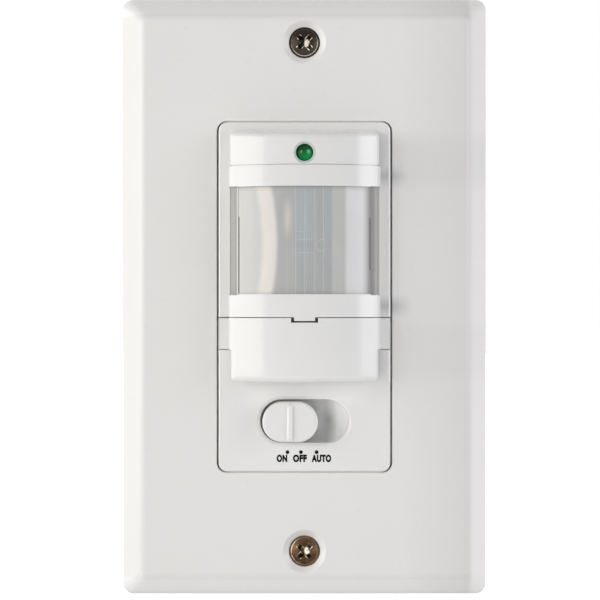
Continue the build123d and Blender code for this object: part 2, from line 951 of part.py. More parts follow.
def adjustment_cover():
    upper = prism(
        dome_outline(band_half, band_front, dome_arc, dome_corner, cover_ear_back),
        cover_ear_low,
        cover_top,
    )
    lower = prism(
        dome_outline(cover_half, band_front, dome_arc, dome_corner, cover_back),
        cover_bottom,
        cover_ear_low + hair,
    )
    bottom_edges = [
        e
        for e in lower.edges()
        if abs(e.center().Z - cover_bottom) < hair and e.center().Y < -cover_back - hair
    ]
    lower = fillet(bottom_edges, cover_round)
    ears = block(-bezel_half, bezel_half, cover_ear_back, bezel_face, cover_ear_low, cover_top)
    inner = prism(
        dome_outline(
            cover_inner_half,
            band_front - cover_wall,
            dome_arc - cover_wall,
            dome_inner_corner,
            cover_ear_back - overrun,
        ),
        cover_bottom + cover_wall,
        cover_top + overrun,
    )
    body = upper + lower + ears - inner
    # the finger notch in the top edge
    body -= block(
        -notch_width / 2,
        notch_width / 2,
        band_front - 2 * cover_wall,
        band_front + overrun,
        cover_top - notch_depth,
        cover_top + overrun,
    )
    # the round back edge, about the hinge's own axis
    corner = block(
        -band_half,
        band_half,
        cover_back - overrun,
        hinge_out,
        cover_bottom - overrun,
        hinge_height,
    )
    body -= corner - rod_across(hinge_radius, -band_half, band_half, hinge_out, hinge_height)
    # room behind the top edge, so that it swings out past the seam above it
    reach = cover_top - hinge_height
    above = block(
        -bezel_half - overrun,
        bezel_half + overrun,
        cover_ear_back - overrun,
        hinge_out,
        hinge_height,
        cover_top + overrun,
    )
    body -= above - rod_across(
        reach, -bezel_half - 2 * overrun, bezel_half + 2 * overrun, hinge_out, hinge_height
    )
    # slots round the housing's hinge ears, then the two hinge pins
    slot_front = hinge_out + hinge_radius + slide_gap
    for hand in (1, -1):
        sides = sorted((hand * (hinge_ear_inner - hinge_side_gap), hand * cover_inner_half))
        body -= block(
            *sides,
            cover_back - overrun,
            slot_front,
            cover_bottom - overrun,
            hinge_height + hinge_radius + slide_gap,
        )
        sides = sorted((hand * hinge_ear_inner, hand * (cover_inner_half + cover_wall / 2)))
        body += rod_across(hinge_pin_radius, *sides, hinge_out, hinge_height)
    return body


def adjuster_knob(place):
    stub_back = adjuster_body_front - adjuster_stub_length
    profile = [
        (0, stub_back),
        (adjuster_stub_radius, stub_back),
        (adjuster_stub_radius, adjuster_body_front + snug),
        (adjuster_shaft_radius, adjuster_body_front + snug),
        (adjuster_shaft_radius, adjuster_head_back),
        (adjuster_head_radius, adjuster_head_back),
        (adjuster_head_radius, adjuster_head_front - adjuster_head_round),
        (adjuster_head_radius - adjuster_head_round, adjuster_head_front),
        (0, adjuster_head_front),
    ]
    body = turned(profile, place, adjuster_height)
    body -= block(
        place - adjuster_slot_width / 2,
        place + adjuster_slot_width / 2,
        adjuster_head_front - adjuster_slot_depth,
        adjuster_head_front + overrun,
        adjuster_height - adjuster_head_radius + 2 * adjuster_head_round,
        adjuster_height + adjuster_head_radius - 2 * adjuster_head_round,
    )
    for number in range(adjuster_flutes):
        angle = 2 * math.pi * (number + 1 / 2) / adjuster_flutes
        side = place + adjuster_head_radius * math.cos(angle)
        height = adjuster_height + adjuster_head_radius * math.sin(angle)
        body -= rod(
            adjuster_flute_radius,
            bezel_face,
            adjuster_head_front + overrun,
            side,
            height,
        )
    return body


def light_knob():
    return adjuster_knob(-adjuster_pitch)


def time_knob():
    return adjuster_knob(0)


def range_knob():
    return adjuster_knob(adjuster_pitch)


def trimmer_bodies():
    bodies = []
    for place in (-adjuster_pitch, 0, adjuster_pitch):
        outline = RectangleRounded(adjuster_body, adjuster_body, adjuster_body_corner)
        outline = Pos(place, adjuster_height) * outline
        case = slab(outline, -sensor_board_depth, adjuster_body_front)
        bore_back = adjuster_body_front - adjuster_stub_length - snug
        case -= rod(
            adjuster_stub_radius + snug,
            bore_back,
            adjuster_body_front + overrun,
            place,
            adjuster_height,
        )
        bodies.append(case)
    return bodies[0] + bodies[1] + bodies[2]


def slide_knob():
    centre = Pos(knob_rest, recess_height)
    cap = slab(centre * SlotOverall(knob_width, knob_tall), knob_back, knob_front)
    cap = fillet(cap.edges().group_by(Axis.Y)[0], knob_round)
    rib = slab(
        centre * RectangleRounded(rib_width, rib_tall, rib_width / 2 - hair),
        knob_back,
        knob_front + rib_rise,
    )
    rib = fillet(rib.edges().group_by(Axis.Y)[0], rib_round)
    stem = slab(
        Pos(stem_rest, recess_height) * Rectangle(stem_width, stem_tall), carriage_back, knob_back + hair
    )
    return cap + rib + stem


def knob_carriage():
    centre = Pos(stem_rest, recess_height)
    plate = slab(
        centre * RectangleRounded(carriage_width, carriage_tall, rib_width), carriage_back, carriage_front
    )
    plate -= slab(
        centre * Rectangle(stem_width + 2 * snug, stem_tall + 2 * snug),
        carriage_back - overrun,
        carriage_front + overrun,
    )
    for hand in (1, -1):
        near = knob_rest + hand * (slider_post / 2 + snug)
        far = near + hand * fork_thick
        sides = sorted((near, far))
        plate += block(
            *sides,
            carriage_back - fork_length,
            carriage_front - snug,
            recess_height - carriage_tall / 2,
            recess_height - stem_tall / 2 - snug,
        )
        plate += block(
            *sides,
            carriage_back - fork_length,
            carriage_back,
            recess_height - carriage_tall / 2,
            recess_height + carriage_tall / 2,
        )
    return plate


def switch_slider():
    centre = Pos(knob_rest, recess_height)
    base_front = case_front - case_front_wall - slide_gap
    base = slab(
        centre * Rectangle(slider_base_width, slider_base_tall),
        base_front - slider_base_thick,
        base_front,
    )
    post = slab(
        centre * Rectangle(slider_post, slider_post_tall), base_front - hair, carriage_back - snug
    )
    return base + post


def slide_switch_case():
    centre = Pos(0, recess_height)
    body = slab(
        centre * RectangleRounded(case_width, case_tall, case_wall), -sensor_board_depth, case_front
    )
    body -= slab(
        centre * Rectangle(case_width - 2 * case_wall, case_tall - 2 * case_wall),
        -sensor_board_depth - overrun,
        case_front - case_front_wall,
    )
    slot_width_here = switch_travel + slider_post + 2 * slide_gap
    body -= slab(
        centre * Rectangle(slot_width_here, slider_post_tall + slide_gap),
        -sensor_board_depth,
        case_front + overrun,
    )
    return body


def sensor_board():
    outline = Rectangle(sensor_board_width, sensor_board_height)
    tongue_low = -sensor_board_height / 2
    outline += Pos(0, (tongue_top + tongue_low) / 2) * Rectangle(
        tongue_width, tongue_top - tongue_low
    )
    for side in (post_side, -post_side):
        for height in (post_top, post_low):
            outline -= Pos(side, height) * Circle(board_screw_radius + snug)
    return slab(outline, -board_rear, -sensor_board_depth)


def board_screws():
    screws = []
    for side in (post_side, -post_side):
        for height in (post_top, post_low):
            tip = pilot_depth - sensor_board_depth - overrun
            profile = [
                (0, -board_rear - board_head_height),
                (board_head_radius, -board_rear - board_head_height),
                (board_head_radius, -board_rear),
                (board_screw_radius, -board_rear),
                (board_screw_radius, tip - board_screw_radius),
                (0, tip),
            ]
            blank = turned(profile, side, height)
            slot_back = -board_rear - board_head_height
            blank -= block(
                side - board_head_radius,
                side + board_head_radius,
                slot_back - overrun,
                slot_back + board_slot_depth,
                height - board_slot_width / 2,
                height + board_slot_width / 2,
            )
            screws.append(blank)
    return Compound([s.solid() for s in screws])


def board_connector():
    half = connector_tall / 2
    body = block(
        -connector_width / 2,
        connector_width / 2,
        -power_board_front,
        -board_rear,
        connector_height - half,
        connector_height + half,
    )
    pitch = connector_width / connector_ways
    for number in range(1, connector_ways):
        place = number * pitch - connector_width / 2
        for edge in (connector_height - half, connector_height + half):
            body -= block(
                place - connector_groove / 2,
                place + connector_groove / 2,
                -power_board_front - overrun,
                overrun - board_rear,
                edge - connector_groove / 2,
                edge + connector_groove / 2,
            )
    return body


def controller_chip():
    body = block(
        -chip_width / 2,
        chip_width / 2,
        -board_rear - chip_thick,
        -board_rear,
        chip_height - chip_tall / 2,
        chip_height + chip_tall / 2,
    )
    back_edges = body.edges().group_by(Axis.Y)[-1]
    return chamfer(back_edges, chip_chamfer)


def power_board():
    return slab(
        Rectangle(power_board_width, power_board_height), -power_board_rear, -power_board_front
    )


def board_box(width, tall, depth, place, height, soften):
    # a moulded block on the back of the power board
    body = block(
        place - width / 2,
        place + width / 2,
        -power_board_rear - depth,
        -power_board_rear,
        height - tall / 2,
        height + tall / 2,
    )
    rounded = [e for e in body.edges() if e.center().Y > power_board_rear + hair]
    return fillet(rounded, soften)


def relay():
    body = board_box(relay_width, relay_tall, relay_depth, left_column, 0, relay_round)
    return body + block(
        left_column - relay_width / 2 - relay_lip,
        left_column + relay_width / 2 + relay_lip,
        -power_board_rear - relay_round,
        -power_board_rear,
        -relay_tall / 2 - relay_lip,
        relay_tall / 2 + relay_lip,
    )


def film_capacitor():
    return board_box(film_width, film_tall, film_depth, right_column, film_height, film_round)


def smoothing_capacitor():
    base = -power_board_rear
    back = base - tank_depth
    bead = base - tank_bead_back
    profile = [
        (0, base),
        (tank_radius, base),
        (tank_radius, bead + tank_bead),
        (tank_radius - tank_bead, bead),
        (tank_radius, bead - tank_bead),
        (tank_radius, back + tank_bead),
        (tank_radius - tank_bead, back),
        (0, back),
    ]
    return turned(profile, right_column, tank_height)


def surge_disc():
    middle = power_board_rear + disc_rise + disc_radius
    disc_plane = Plane.XY.offset(disc_height - disc_thick / 2) * Pos(right_column, middle)
    body = extrude(disc_plane * Circle(disc_radius), amount=disc_thick, dir=(0, 0, 1))
    body = fillet(body.edges(), disc_round)
    for side in (disc_lead_pitch / 2, -disc_lead_pitch / 2):
        body += rod(
            disc_lead_radius,
            -middle,
            -power_board_rear,
            right_column + side,
            disc_height,
        )
    return body


def choke():
    base = -power_board_rear
    back = base - choke_depth
    profile = [
        (0, base),
        (choke_radius, base),
        (choke_radius, base - choke_rim),
        (choke_core_radius + choke_rim, base - choke_rim),
        (choke_core_radius + choke_rim, back + choke_rim),
        (choke_radius, back + choke_rim),
        (choke_radius, back),
        (0, back),
    ]
    return turned(profile, left_column, choke_height)


def fuse():
    body = rod(
        fuse_radius, -power_board_rear - fuse_depth, -power_board_rear, left_column, fuse_height
    )
    return fillet(body.edges().group_by(Axis.Y)[-1], fuse_round)


def terminal_places():
    # each terminal's hand, 1 for the right side and -1 for the left, and its height
    return [(1, height) for height in terminal_heights] + [(-1, single_terminal_height)]


def handed(body, hand):
    return body if hand > 0 else mirror(body, about=Plane.YZ)


def rear_housing():
    outline = RectangleRounded(rear_width, rear_height, rear_corner)
    body = slab(outline, -rear_depth, 0)
    body = fillet(body.faces().sort_by(Axis.Y)[-1].edges(), rear_edge_round)
    hollow = RectangleRounded(
        rear_width - 2 * rear_wall, rear_height - 2 * rear_wall, rear_corner - rear_wall / 2
    )
    body -= slab(hollow, -rear_inside, overrun)
    for side in (long_screw_side, -long_screw_side):
        for height in (long_screw_height, -long_screw_height):
            post = rod(long_post_radius, -rear_inside, 0, side, height)
            post += rod(
                counterbore_post_radius,
                -rear_inside,
                counterbore_post_depth - rear_depth,
                side,
                height,
            )
            body += post & slab(outline, -rear_depth, 0)
            body -= rod(long_hole_radius, -rear_depth - overrun, overrun, side, height)
            body -= rod(
                long_head_radius + slide_gap,
                -rear_depth - overrun,
                counterbore_depth - rear_depth,
                side,
                height,
            )
    ledge_outer = rear_width / 2 - rear_wall
    for hand in (1, -1):
        for height in (ledge_height, -ledge_height):
            sides = sorted((hand * (ledge_outer - ledge_side), hand * (ledge_outer + hair)))
            low = height - ledge_tall / 2
            body += block(*sides, -rear_inside, -power_board_rear, low, low + ledge_tall)
    pocket_out = rear_width / 2 - pocket_depth
    for hand, height in terminal_places():
        swell = block(
            pocket_out - pocket_floor,
            ledge_outer + hair,
            -pocket_front - pocket_length - pocket_border,
            pocket_border - pocket_front,
            height - pocket_half - pocket_border,
            height + pocket_half + pocket_border,
        )
        body += handed(swell, hand)
        pocket = block(
            pocket_out,
            rear_width / 2 + overrun,
            -pocket_front - pocket_length,
            -pocket_front,
            height - pocket_half,
            height + pocket_half,
        )
        tail_front = -pocket_front - terminal_gap + snug
        pocket += block(
            pocket_out - pocket_floor - overrun,
            pocket_out + snug,
            tail_front - tail_thick - 2 * snug,
            tail_front,
            height - tail_half - snug,
            height + tail_half + snug,
        )
        middle = -pocket_front - pocket_length / 2
        pocket += rod_across(
            terminal_screw_radius + snug,
            pocket_out - terminal_screw_length + terminal_thick - snug,
            pocket_out + snug,
            middle,
            height,
        )
        body -= handed(pocket, hand)
    return body


def terminal_plate(height):
    pocket_out = rear_width / 2 - pocket_depth
    front = -pocket_front - terminal_gap
    tail_in = pocket_out - tail_reach
    body = block(
        pocket_out,
        pocket_out + terminal_thick,
        -pocket_front - pocket_length + terminal_gap,
        front,
        height - pocket_half + terminal_gap,
        height + pocket_half - terminal_gap,
    )
    body += block(
        tail_in, pocket_out + hair, front - tail_thick, front, height - tail_half, height + tail_half
    )
    body += block(
        tail_in,
        tail_in + tail_thick,
        front,
        -power_board_rear,
        height - tail_half,
        height + tail_half,
    )
    middle = -pocket_front - pocket_length / 2
    return body - rod_across(
        terminal_screw_radius + snug, pocket_out - overrun, pocket_out + 2 * terminal_thick, middle, height
    )


def terminal_plates():
    plates = [handed(terminal_plate(height), hand) for hand, height in terminal_places()]
    return Compound([p.solid() for p in plates])


def terminal_screw(height):
    seat = rear_width / 2 - pocket_depth + terminal_thick
    middle = -pocket_front - pocket_length / 2
    head_out = seat + terminal_head_height
    body = rod_across(terminal_head_radius, seat, head_out, middle, height)
    body = fillet(body.edges().group_by(Axis.X)[-1], terminal_head_round)
    body += rod_across(
        terminal_screw_radius, seat - terminal_screw_length + snug, seat + hair, middle, height
    )
    return body - block(
        head_out - driver_slot_depth,
        head_out + overrun,
        middle - driver_slot_width / 2,
        middle + driver_slot_width / 2,
        height - terminal_head_radius - overrun,
        height + terminal_head_radius + overrun,
    )


def terminal_screws():
    screws = [handed(terminal_screw(height), hand) for hand, height in terminal_places()]
    return Compound([s.solid() for s in screws])


def housing_screws():
    screws = []
    seat = counterbore_depth - rear_depth
    for side in (long_screw_side, -long_screw_side):
        for height in (long_screw_height, -long_screw_height):
            profile = [
                (0, seat - long_head_height),
                (long_head_radius, seat - long_head_height),
                (long_head_radius, seat),
                (long_screw_radius, seat),
                (long_screw_radius, strap_front + long_screw_grip - long_screw_radius),
                (0, strap_front + long_screw_grip),
            ]
            blank = turned(profile, side, height)
            head_back = seat - long_head_height
            blank -= block(
                side - driver_slot_width / 2,
                side + driver_slot_width / 2,
                head_back - overrun,
                head_back + long_slot_depth,
                height - long_head_radius,
                height + long_head_radius,
            )
            screws.append(blank)
    return Compound([s.solid() for s in screws])


pieces = [
    wall_plate,
    plate_screws,
    mounting_strap,
    box_screws,
    screw_retainers,
    ground_screw,
    front_housing,
    sensor_lens,
    lens_retainer,
    sensor_spacer,
    pyro_sensor,
    pyro_window,
    light_sensor,
    status_led,
    led_leads,
    led_spacer,
    adjustment_cover,
    light_knob,
    time_knob,
    range_knob,
    trimmer_bodies,
    slide_knob,
    knob_carriage,
    switch_slider,
    slide_switch_case,
    sensor_board,
    board_screws,
    board_connector,
    controller_chip,
    power_board,
    relay,
    film_capacitor,
    smoothing_capacitor,
    surge_disc,
    choke,
    fuse,
    rear_housing,
    housing_screws,
    terminal_plates,
    terminal_screws,
]

for make in pieces:
    export_step(make(), f"parts/{make.__name__}.step")
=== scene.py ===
import math

import bmesh
import bpy
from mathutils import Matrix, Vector


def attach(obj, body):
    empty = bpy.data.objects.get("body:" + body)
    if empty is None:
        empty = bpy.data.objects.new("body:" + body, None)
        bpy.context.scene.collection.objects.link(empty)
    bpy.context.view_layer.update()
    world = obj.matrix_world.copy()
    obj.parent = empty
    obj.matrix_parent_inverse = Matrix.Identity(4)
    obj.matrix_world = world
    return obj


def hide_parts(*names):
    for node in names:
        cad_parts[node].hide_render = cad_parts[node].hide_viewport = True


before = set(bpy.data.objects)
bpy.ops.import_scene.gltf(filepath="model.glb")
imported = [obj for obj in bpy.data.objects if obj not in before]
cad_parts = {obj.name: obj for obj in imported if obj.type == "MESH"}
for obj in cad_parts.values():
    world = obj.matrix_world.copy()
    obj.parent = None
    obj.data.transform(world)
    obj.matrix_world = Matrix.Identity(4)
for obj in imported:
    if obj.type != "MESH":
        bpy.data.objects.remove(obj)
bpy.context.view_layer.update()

mm = 0.001


class Link:
    # one socket of a node tree; arithmetic on it adds Math nodes
    def __init__(self, finish, socket):
        self.finish = finish
        self.socket = socket

    def math(self, operation, first, second):
        made = self.finish.node("ShaderNodeMath", {"operation": operation}, {0: first, 1: second})
        return self.finish.out(made)

    def __add__(self, other):
        return self.math("ADD", self, other)

    def __radd__(self, other):
        return self.math("ADD", other, self)

    def __sub__(self, other):
        return self.math("SUBTRACT", self, other)

    def __rsub__(self, other):
        return self.math("SUBTRACT", other, self)

    def __mul__(self, other):
        return self.math("MULTIPLY", self, other)

    def __rmul__(self, other):
        return self.math("MULTIPLY", other, self)

    def __abs__(self):
        return self.math("ABSOLUTE", self, 0)

    def __gt__(self, other):
        return self.math("GREATER_THAN", self, other)

    def __lt__(self, other):
        return self.math("LESS_THAN", self, other)

    def larger(self, other):
        return self.math("MAXIMUM", self, other)

    def smaller(self, other):
        return self.math("MINIMUM", self, other)


class Finish:
    # the node tree of a material or of the world, with one method that adds any node
    def __init__(self, owner, output="ShaderNodeOutputMaterial"):
        owner.use_nodes = True
        self.owner = owner
        self.tree = owner.node_tree
        self.tree.nodes.clear()
        self.output = self.tree.nodes.new(output)

    def node(self, kind, settings=None, sockets=None):
        made = self.tree.nodes.new(kind)
        for key, value in (settings or {}).items():
            if key == "stops":
                self.setStops(made.color_ramp, value)
            else:
                setattr(made, key, value)
        for key, value in (sockets or {}).items():
            if isinstance(value, Link):
                self.tree.links.new(value.socket, made.inputs[key])
            else:
                made.inputs[key].default_value = value
        return made

    def out(self, made, key=0):
        return Link(self, made.outputs[key])

    def setStops(self, ramp, stops):
        while len(ramp.elements) < len(stops):
            ramp.elements.new(1)
        for element, (place, colour) in zip(ramp.elements, stops):
            element.position = place
            element.color = colour

    def place(self):
        # a point's place on the piece in metres, the same in every pose
        return self.out(self.node("ShaderNodeTexCoord"), "Object")

    def axes(self, vector):
        split = self.node("ShaderNodeSeparateXYZ", None, {0: vector})
        return [self.out(split, i) for i in range(3)]

    def spot(self):
        # the same place as side, out and up in millimetres; out is negative in front of the wall
        return [axis * (1 / mm) for axis in self.axes(self.place())]

    def stretched(self, vector, scale):
        return self.out(self.node("ShaderNodeVectorMath", {"operation": "MULTIPLY"}, {0: vector, 1: scale}))

    def reach(self, across, along):
        # distance from the centre of a flat pair of coordinates
        flat = self.out(self.node("ShaderNodeCombineXYZ", None, {0: across, 1: along}))
        return self.out(self.node("ShaderNodeVectorMath", {"operation": "LENGTH"}, {0: flat}), "Value")

    def span(self, value, low, high, atLow=0, atHigh=1):
        # slides from atLow to atHigh while the value goes from low to high
        sockets = {0: value, 1: low, 2: high, 3: atLow, 4: atHigh}
        return self.out(self.node("ShaderNodeMapRange", None, sockets))

    def strip(self, value, low, high, soft):
        # one between low and high, nothing outside, with soft ends
        rise = self.span(value, low - soft, low + soft)
        return rise * self.span(value, high - soft, high + soft, 1, 0)

    def stroke(self, value, level, half, soft):
        # a thin strip to both sides of a level
        return self.strip(value, level - half, level + half, soft)

    def noise(self, vector, scale, detail, rough):
        return self.out(self.node("ShaderNodeTexNoise", None, {
            "Vector": vector, "Scale": scale, "Detail": detail, "Roughness": rough}))

    def cells(self, vector, scale):
        made = self.node("ShaderNodeTexVoronoi", None, {"Vector": vector, "Scale": scale})
        return self.out(made, "Distance")

    def ramp(self, value, stops):
        return self.out(self.node("ShaderNodeValToRGB", {"stops": stops}, {0: value}))

    def tint(self, share, one, other):
        made = self.node("ShaderNodeMix", {"data_type": "RGBA"}, {0: share, 6: one, 7: other})
        return self.out(made, 2)

    def blend(self, share, one, other):
        # two shaders mixed
        return self.out(self.node("ShaderNodeMixShader", None, {0: share, 1: one, 2: other}))

    def relief(self, height, strength, depth):
        return self.out(self.node("ShaderNodeBump", None, {
            "Height": height, "Strength": strength, "Distance": depth}))

    def close(self, shader):
        self.tree.links.new(shader.socket, self.output.inputs[0])
        return self.owner

    def surface(self, sockets):
        return self.close(self.out(self.node("ShaderNodeBsdfPrincipled", None, sockets)))


def newFinish(name):
    return Finish(bpy.data.materials.new(name))


def rgb(red, green, blue):
    return (red, green, blue, 1)


def shade(colour, factor):
    return (*[min(1, part * factor) for part in colour[:3]], 1)


view = {"place": (-0.85 * mm, -350 * mm, -0.6 * mm), "lens": 108.7, "sensor": 36, "near": 10 * mm}


def buildCamera():
    data = bpy.data.cameras.new("camera")
    data.lens = view["lens"]
    data.sensor_width = view["sensor"]
    data.clip_start = view["near"]
    camera = bpy.data.objects.new("camera", data)
    camera.location = view["place"]
    camera.rotation_euler = (math.radians(90), 0, 0)
    bpy.context.collection.objects.link(camera)
    bpy.context.scene.camera = camera


lamps = {  # angles from straight in front, the camera's left being positive; reach and size in metres
    "leftSoftbox": dict(angle=65, reach=0.8, wide=0.95, tall=0.8, power=7.1, tint=(1.0, 0.985, 0.95)),
    "rightSoftbox": dict(angle=-63, reach=0.9, wide=0.5, tall=0.9, power=4.1, tint=(0.96, 0.945, 1.0)),
}


def buildLamp(name, look):
    data = bpy.data.lights.new(name, "AREA")
    data.shape = "RECTANGLE"
    data.size = look["wide"]
    data.size_y = look["tall"]
    data.energy = look["power"]
    data.color = look["tint"]
    lamp = bpy.data.objects.new(name, data)
    angle = math.radians(look["angle"])
    place = Vector((-math.sin(angle), -math.cos(angle), 0)) * look["reach"]
    lamp.location = place
    lamp.rotation_euler = (-place).to_track_quat("-Z", "Y").to_euler()
    bpy.context.collection.objects.link(lamp)


backdrop = {"soft": rgb(0.97, 0.98, 1.0), "ambient": 0.39, "white": rgb(1, 1, 1)}


def buildBackdrop():
    # soft light for the object, plain white where the camera, gloss or glass sees it
    world = bpy.data.worlds.new("studio")
    bpy.context.scene.world = world
    sky = Finish(world, "ShaderNodeOutputWorld")
    rays = sky.node("ShaderNodeLightPath")
    shown = sky.out(rays, "Is Camera Ray").larger(sky.out(rays, "Is Glossy Ray"))
    shown = shown.larger(sky.out(rays, "Is Transmission Ray"))
    soft = sky.out(sky.node("ShaderNodeBackground", None, {0: backdrop["soft"], 1: backdrop["ambient"]}))
    white = sky.out(sky.node("ShaderNodeBackground", None, {0: backdrop["white"], 1: 1}))
    sky.close(sky.blend(shown, soft, white))


floorBoard = {"half": 2.0, "drop": 70 * mm, "paper": rgb(0.86, 0.86, 0.86), "white": rgb(1, 1, 1),
              "glow": 2.05, "fade": (40 * mm, 130 * mm, 0.3, 1), "lift": 0.17}


def floorFinish():
    # a white floor that still takes the shadow, and is clear from below
    finish = newFinish("floorPaper")
    look = floorBoard
    rays = finish.node("ShaderNodeLightPath")
    seen = finish.out(rays, "Is Camera Ray").larger(finish.out(rays, "Is Glossy Ray"))
    paper = finish.out(finish.node("ShaderNodeBsdfDiffuse", None, {0: look["paper"]}))
    glow = finish.out(finish.node("ShaderNodeEmission", None, {0: look["white"], 1: look["glow"]}))
    side, out, up = finish.axes(finish.place())
    far = finish.span(finish.reach(side, out), *look["fade"])
    share = seen * (far - look["lift"]) + look["lift"]
    below = finish.out(finish.node("ShaderNodeNewGeometry"), "Backfacing")
    clear = finish.out(finish.node("ShaderNodeBsdfTransparent", None, {0: look["white"]}))
    return finish.close(finish.blend(below, finish.blend(share, paper, glow), clear))


def buildFloor():
    mesh = bpy.data.meshes.new("floor")
    half, level = floorBoard["half"], -floorBoard["drop"]
    corners = [(-half, -half, level), (half, -half, level), (half, half, level), (-half, half, level)]
    mesh.from_pydata(corners, [], [(0, 1, 2, 3)])
    mesh.materials.append(floorFinish())
    floor = bpy.data.objects.new("floor", mesh)
    bpy.context.collection.objects.link(floor)


buildCamera()
for name, look in lamps.items():
    buildLamp(name, look)
buildBackdrop()
buildFloor()
bpy.context.scene.view_settings.view_transform = "Standard"
print("studio built")


# In the painted light and shade below, lengths are millimetres. Four numbers are a span (from, to, value at
# from, value at to), two numbers a span from nothing to one, and three a strip (from, to, softness of its
# ends).
# painted shadow beside the hood, the bands and the cover: where it lies up and down, and how it fades to the
# right
rightShadowPaint = {
    "hood": dict(tall=(21.2, 30.4, 1.4), wide=(14.2, 16.2, 0.62, 0.12)),
    "cover": dict(tall=(-15.2, -5.6, 1.4), wide=(14.2, 16.0, 0.6, 0.08)),
    "upperBand": dict(tall=(21.6, 24.4, 1.2), wide=(16.3, 20.5, 0.8, 0.0)),
    "lowerBand": dict(tall=(-3.0, -0.5, 1.0), wide=(16.3, 20.5, 0.8, 0.0)),
}


def paintedSideShadow(finish, side, up):
    # painted shadow on the right of the hood, the bands and the cover, where the left lamp's shadow falls
    grey = 0
    for patch in rightShadowPaint.values():
        patchShade = finish.strip(up, *patch["tall"]) * finish.span(side, *patch["wide"])
        grey = patchShade.larger(grey)
    return grey


# painted light: where the gaps above and below the bezel glow, and the colour of every painted glow
paintedGlow = {"low": 33.05, "high": 33.75, "side": (14.4, 15.8, 1, 0), "depth": (-5.75, -5.3), "share": 0.85,
            "colour": rgb(0.13, 0.13, 0.127)}


def paintedGapGlow(finish, side, out, up):
    # painted light: a faint emission in the narrow gap above and below the bezel, standing in for light that
    # comes through the plastic
    ends = (abs(up) > paintedGlow["low"]) * (abs(up) < paintedGlow["high"])
    ends = ends * finish.span(abs(side), *paintedGlow["side"])
    return ends * finish.span(out, *paintedGlow["depth"]) * paintedGlow["share"]


# painted light: the glowing end of the switch recess
recessGlowPaint = {"depth": (-5.7, -4.6), "floor": -2.0, "tall": (-28.2, -19.0, 0.3), "side": (4.2, 7.4),
              "end": 8.6}


def paintedHousingGlow(finish, side, out, up):
    # painted light: the glow in the gaps above and below the bezel, and a faint emission at the pale end of
    # the switch recess standing in for light bounced round it
    look = recessGlowPaint
    well = finish.span(out, *look["depth"]) * (out < look["floor"]) * finish.strip(up, *look["tall"])
    end = well * finish.span(side, *look["side"]) * (side < look["end"])
    return end.larger(paintedGapGlow(finish, side, out, up))


# painted light and shade on the wall plate
plateLightPaint = {
    "pale": rgb(0.92, 0.905, 0.885), "grey": rgb(0.62, 0.61, 0.595), "shade": rgb(0.46, 0.465, 0.48),
    "top": (53.5, 54.1), "topFade": (53.9, 57.1, 0.75, 0.2),
    "foot": (-54.1, -53.5, 1, 0), "footFade": (-57.1, -55.1, 0.0, 0.42), "footGrey": (-57.1, -56.3, 0.5, 0),
    "right": (31.4, 32.5, 0, 0.5), "face": (18.0, 31.0, 0.0, 0.5), "faceEnd": (31.2, 32.0, 1, 0),
    "screwUp": 48.42, "cone": (2.7, 4.1, 0.15), "middle": (-1, 1, -1, 1),
    "coneLean": 0.5, "coneGrey": (0.8, 3.4, 0, 0.5), "coneTurn": 0.4, "conePale": (0.6, 3.4, 0, 0.7),
    "shadeFrom": 16.4,
}


def paintedPlateLight(finish, base, side, out, up):
    # painted light and shade: lighter bevels, painted shade on the bottom edge and the right side of the
    # face, painted shade and highlight in the screw cones, and the painted shadow beside the hood and bands
    look = plateLightPaint
    top = finish.span(up, *look["top"]) * finish.span(up, *look["topFade"])
    foot = finish.span(up, *look["foot"]) * finish.span(up, *look["footFade"])
    # painted light on the top, bottom and right bevels
    bevels = top.larger(foot).larger(finish.span(side, *look["right"]))
    base = finish.tint(bevels, base, look["pale"])
    # painted shade along the bottom edge
    base = finish.tint(finish.span(up, *look["footGrey"]), base, look["grey"])
    # painted shade on the right side of the face
    face = finish.span(side, *look["face"]) * finish.span(side, *look["faceEnd"])
    base = finish.tint(face, base, look["grey"])
    # painted shade on the upper side of each screw cone and a painted highlight on its right
    level = abs(up) - look["screwUp"]
    cone = finish.strip(finish.reach(side, level), *look["cone"])
    rise = finish.span(up, *look["middle"]) * level
    upper = finish.span(rise - side * look["coneLean"], *look["coneGrey"])
    base = finish.tint(cone * upper, base, look["grey"])
    right = finish.span(side - rise * look["coneTurn"], *look["conePale"])
    base = finish.tint(cone * right, base, look["pale"])
    return finish.tint(paintedSideShadow(finish, side, up) * (side > look["shadeFrom"]), base, look["shade"])


# painted light and shade on the bezel
bezelLightPaint = {
    "front": -6.05, "back": -5.5, "shade": rgb(0.46, 0.465, 0.48), "shadeFrom": 14.0,
    "lip": rgb(0.94, 0.935, 0.92), "lipSide": (16.05, 16.6, 0.06), "lipFrom": -16,
    "under": (-20.4, -16.4, 0.8), "underSide": (8.0, 13.0, 0.45, 0),
}


def paintedBezelLight(finish, base, side, out, up):
    # the flat face: painted shadow beside the hood, a painted highlight on the right edge and painted bounce
    # light below the cover
    look = bezelLightPaint
    flat = (out > look["front"]) * (out < look["back"])
    base = finish.tint(paintedSideShadow(finish, side, up) * flat * (side > look["shadeFrom"]), base, look["shade"])
    # painted highlight on the right edge
    edge = finish.strip(side, *look["lipSide"]) * flat * (up > look["lipFrom"])
    base = finish.tint(edge, base, look["lip"])
    # painted bounce light below the cover
    under = flat * finish.strip(up, *look["under"]) * finish.span(abs(side), *look["underSide"])
    return finish.tint(under, base, look["lip"])


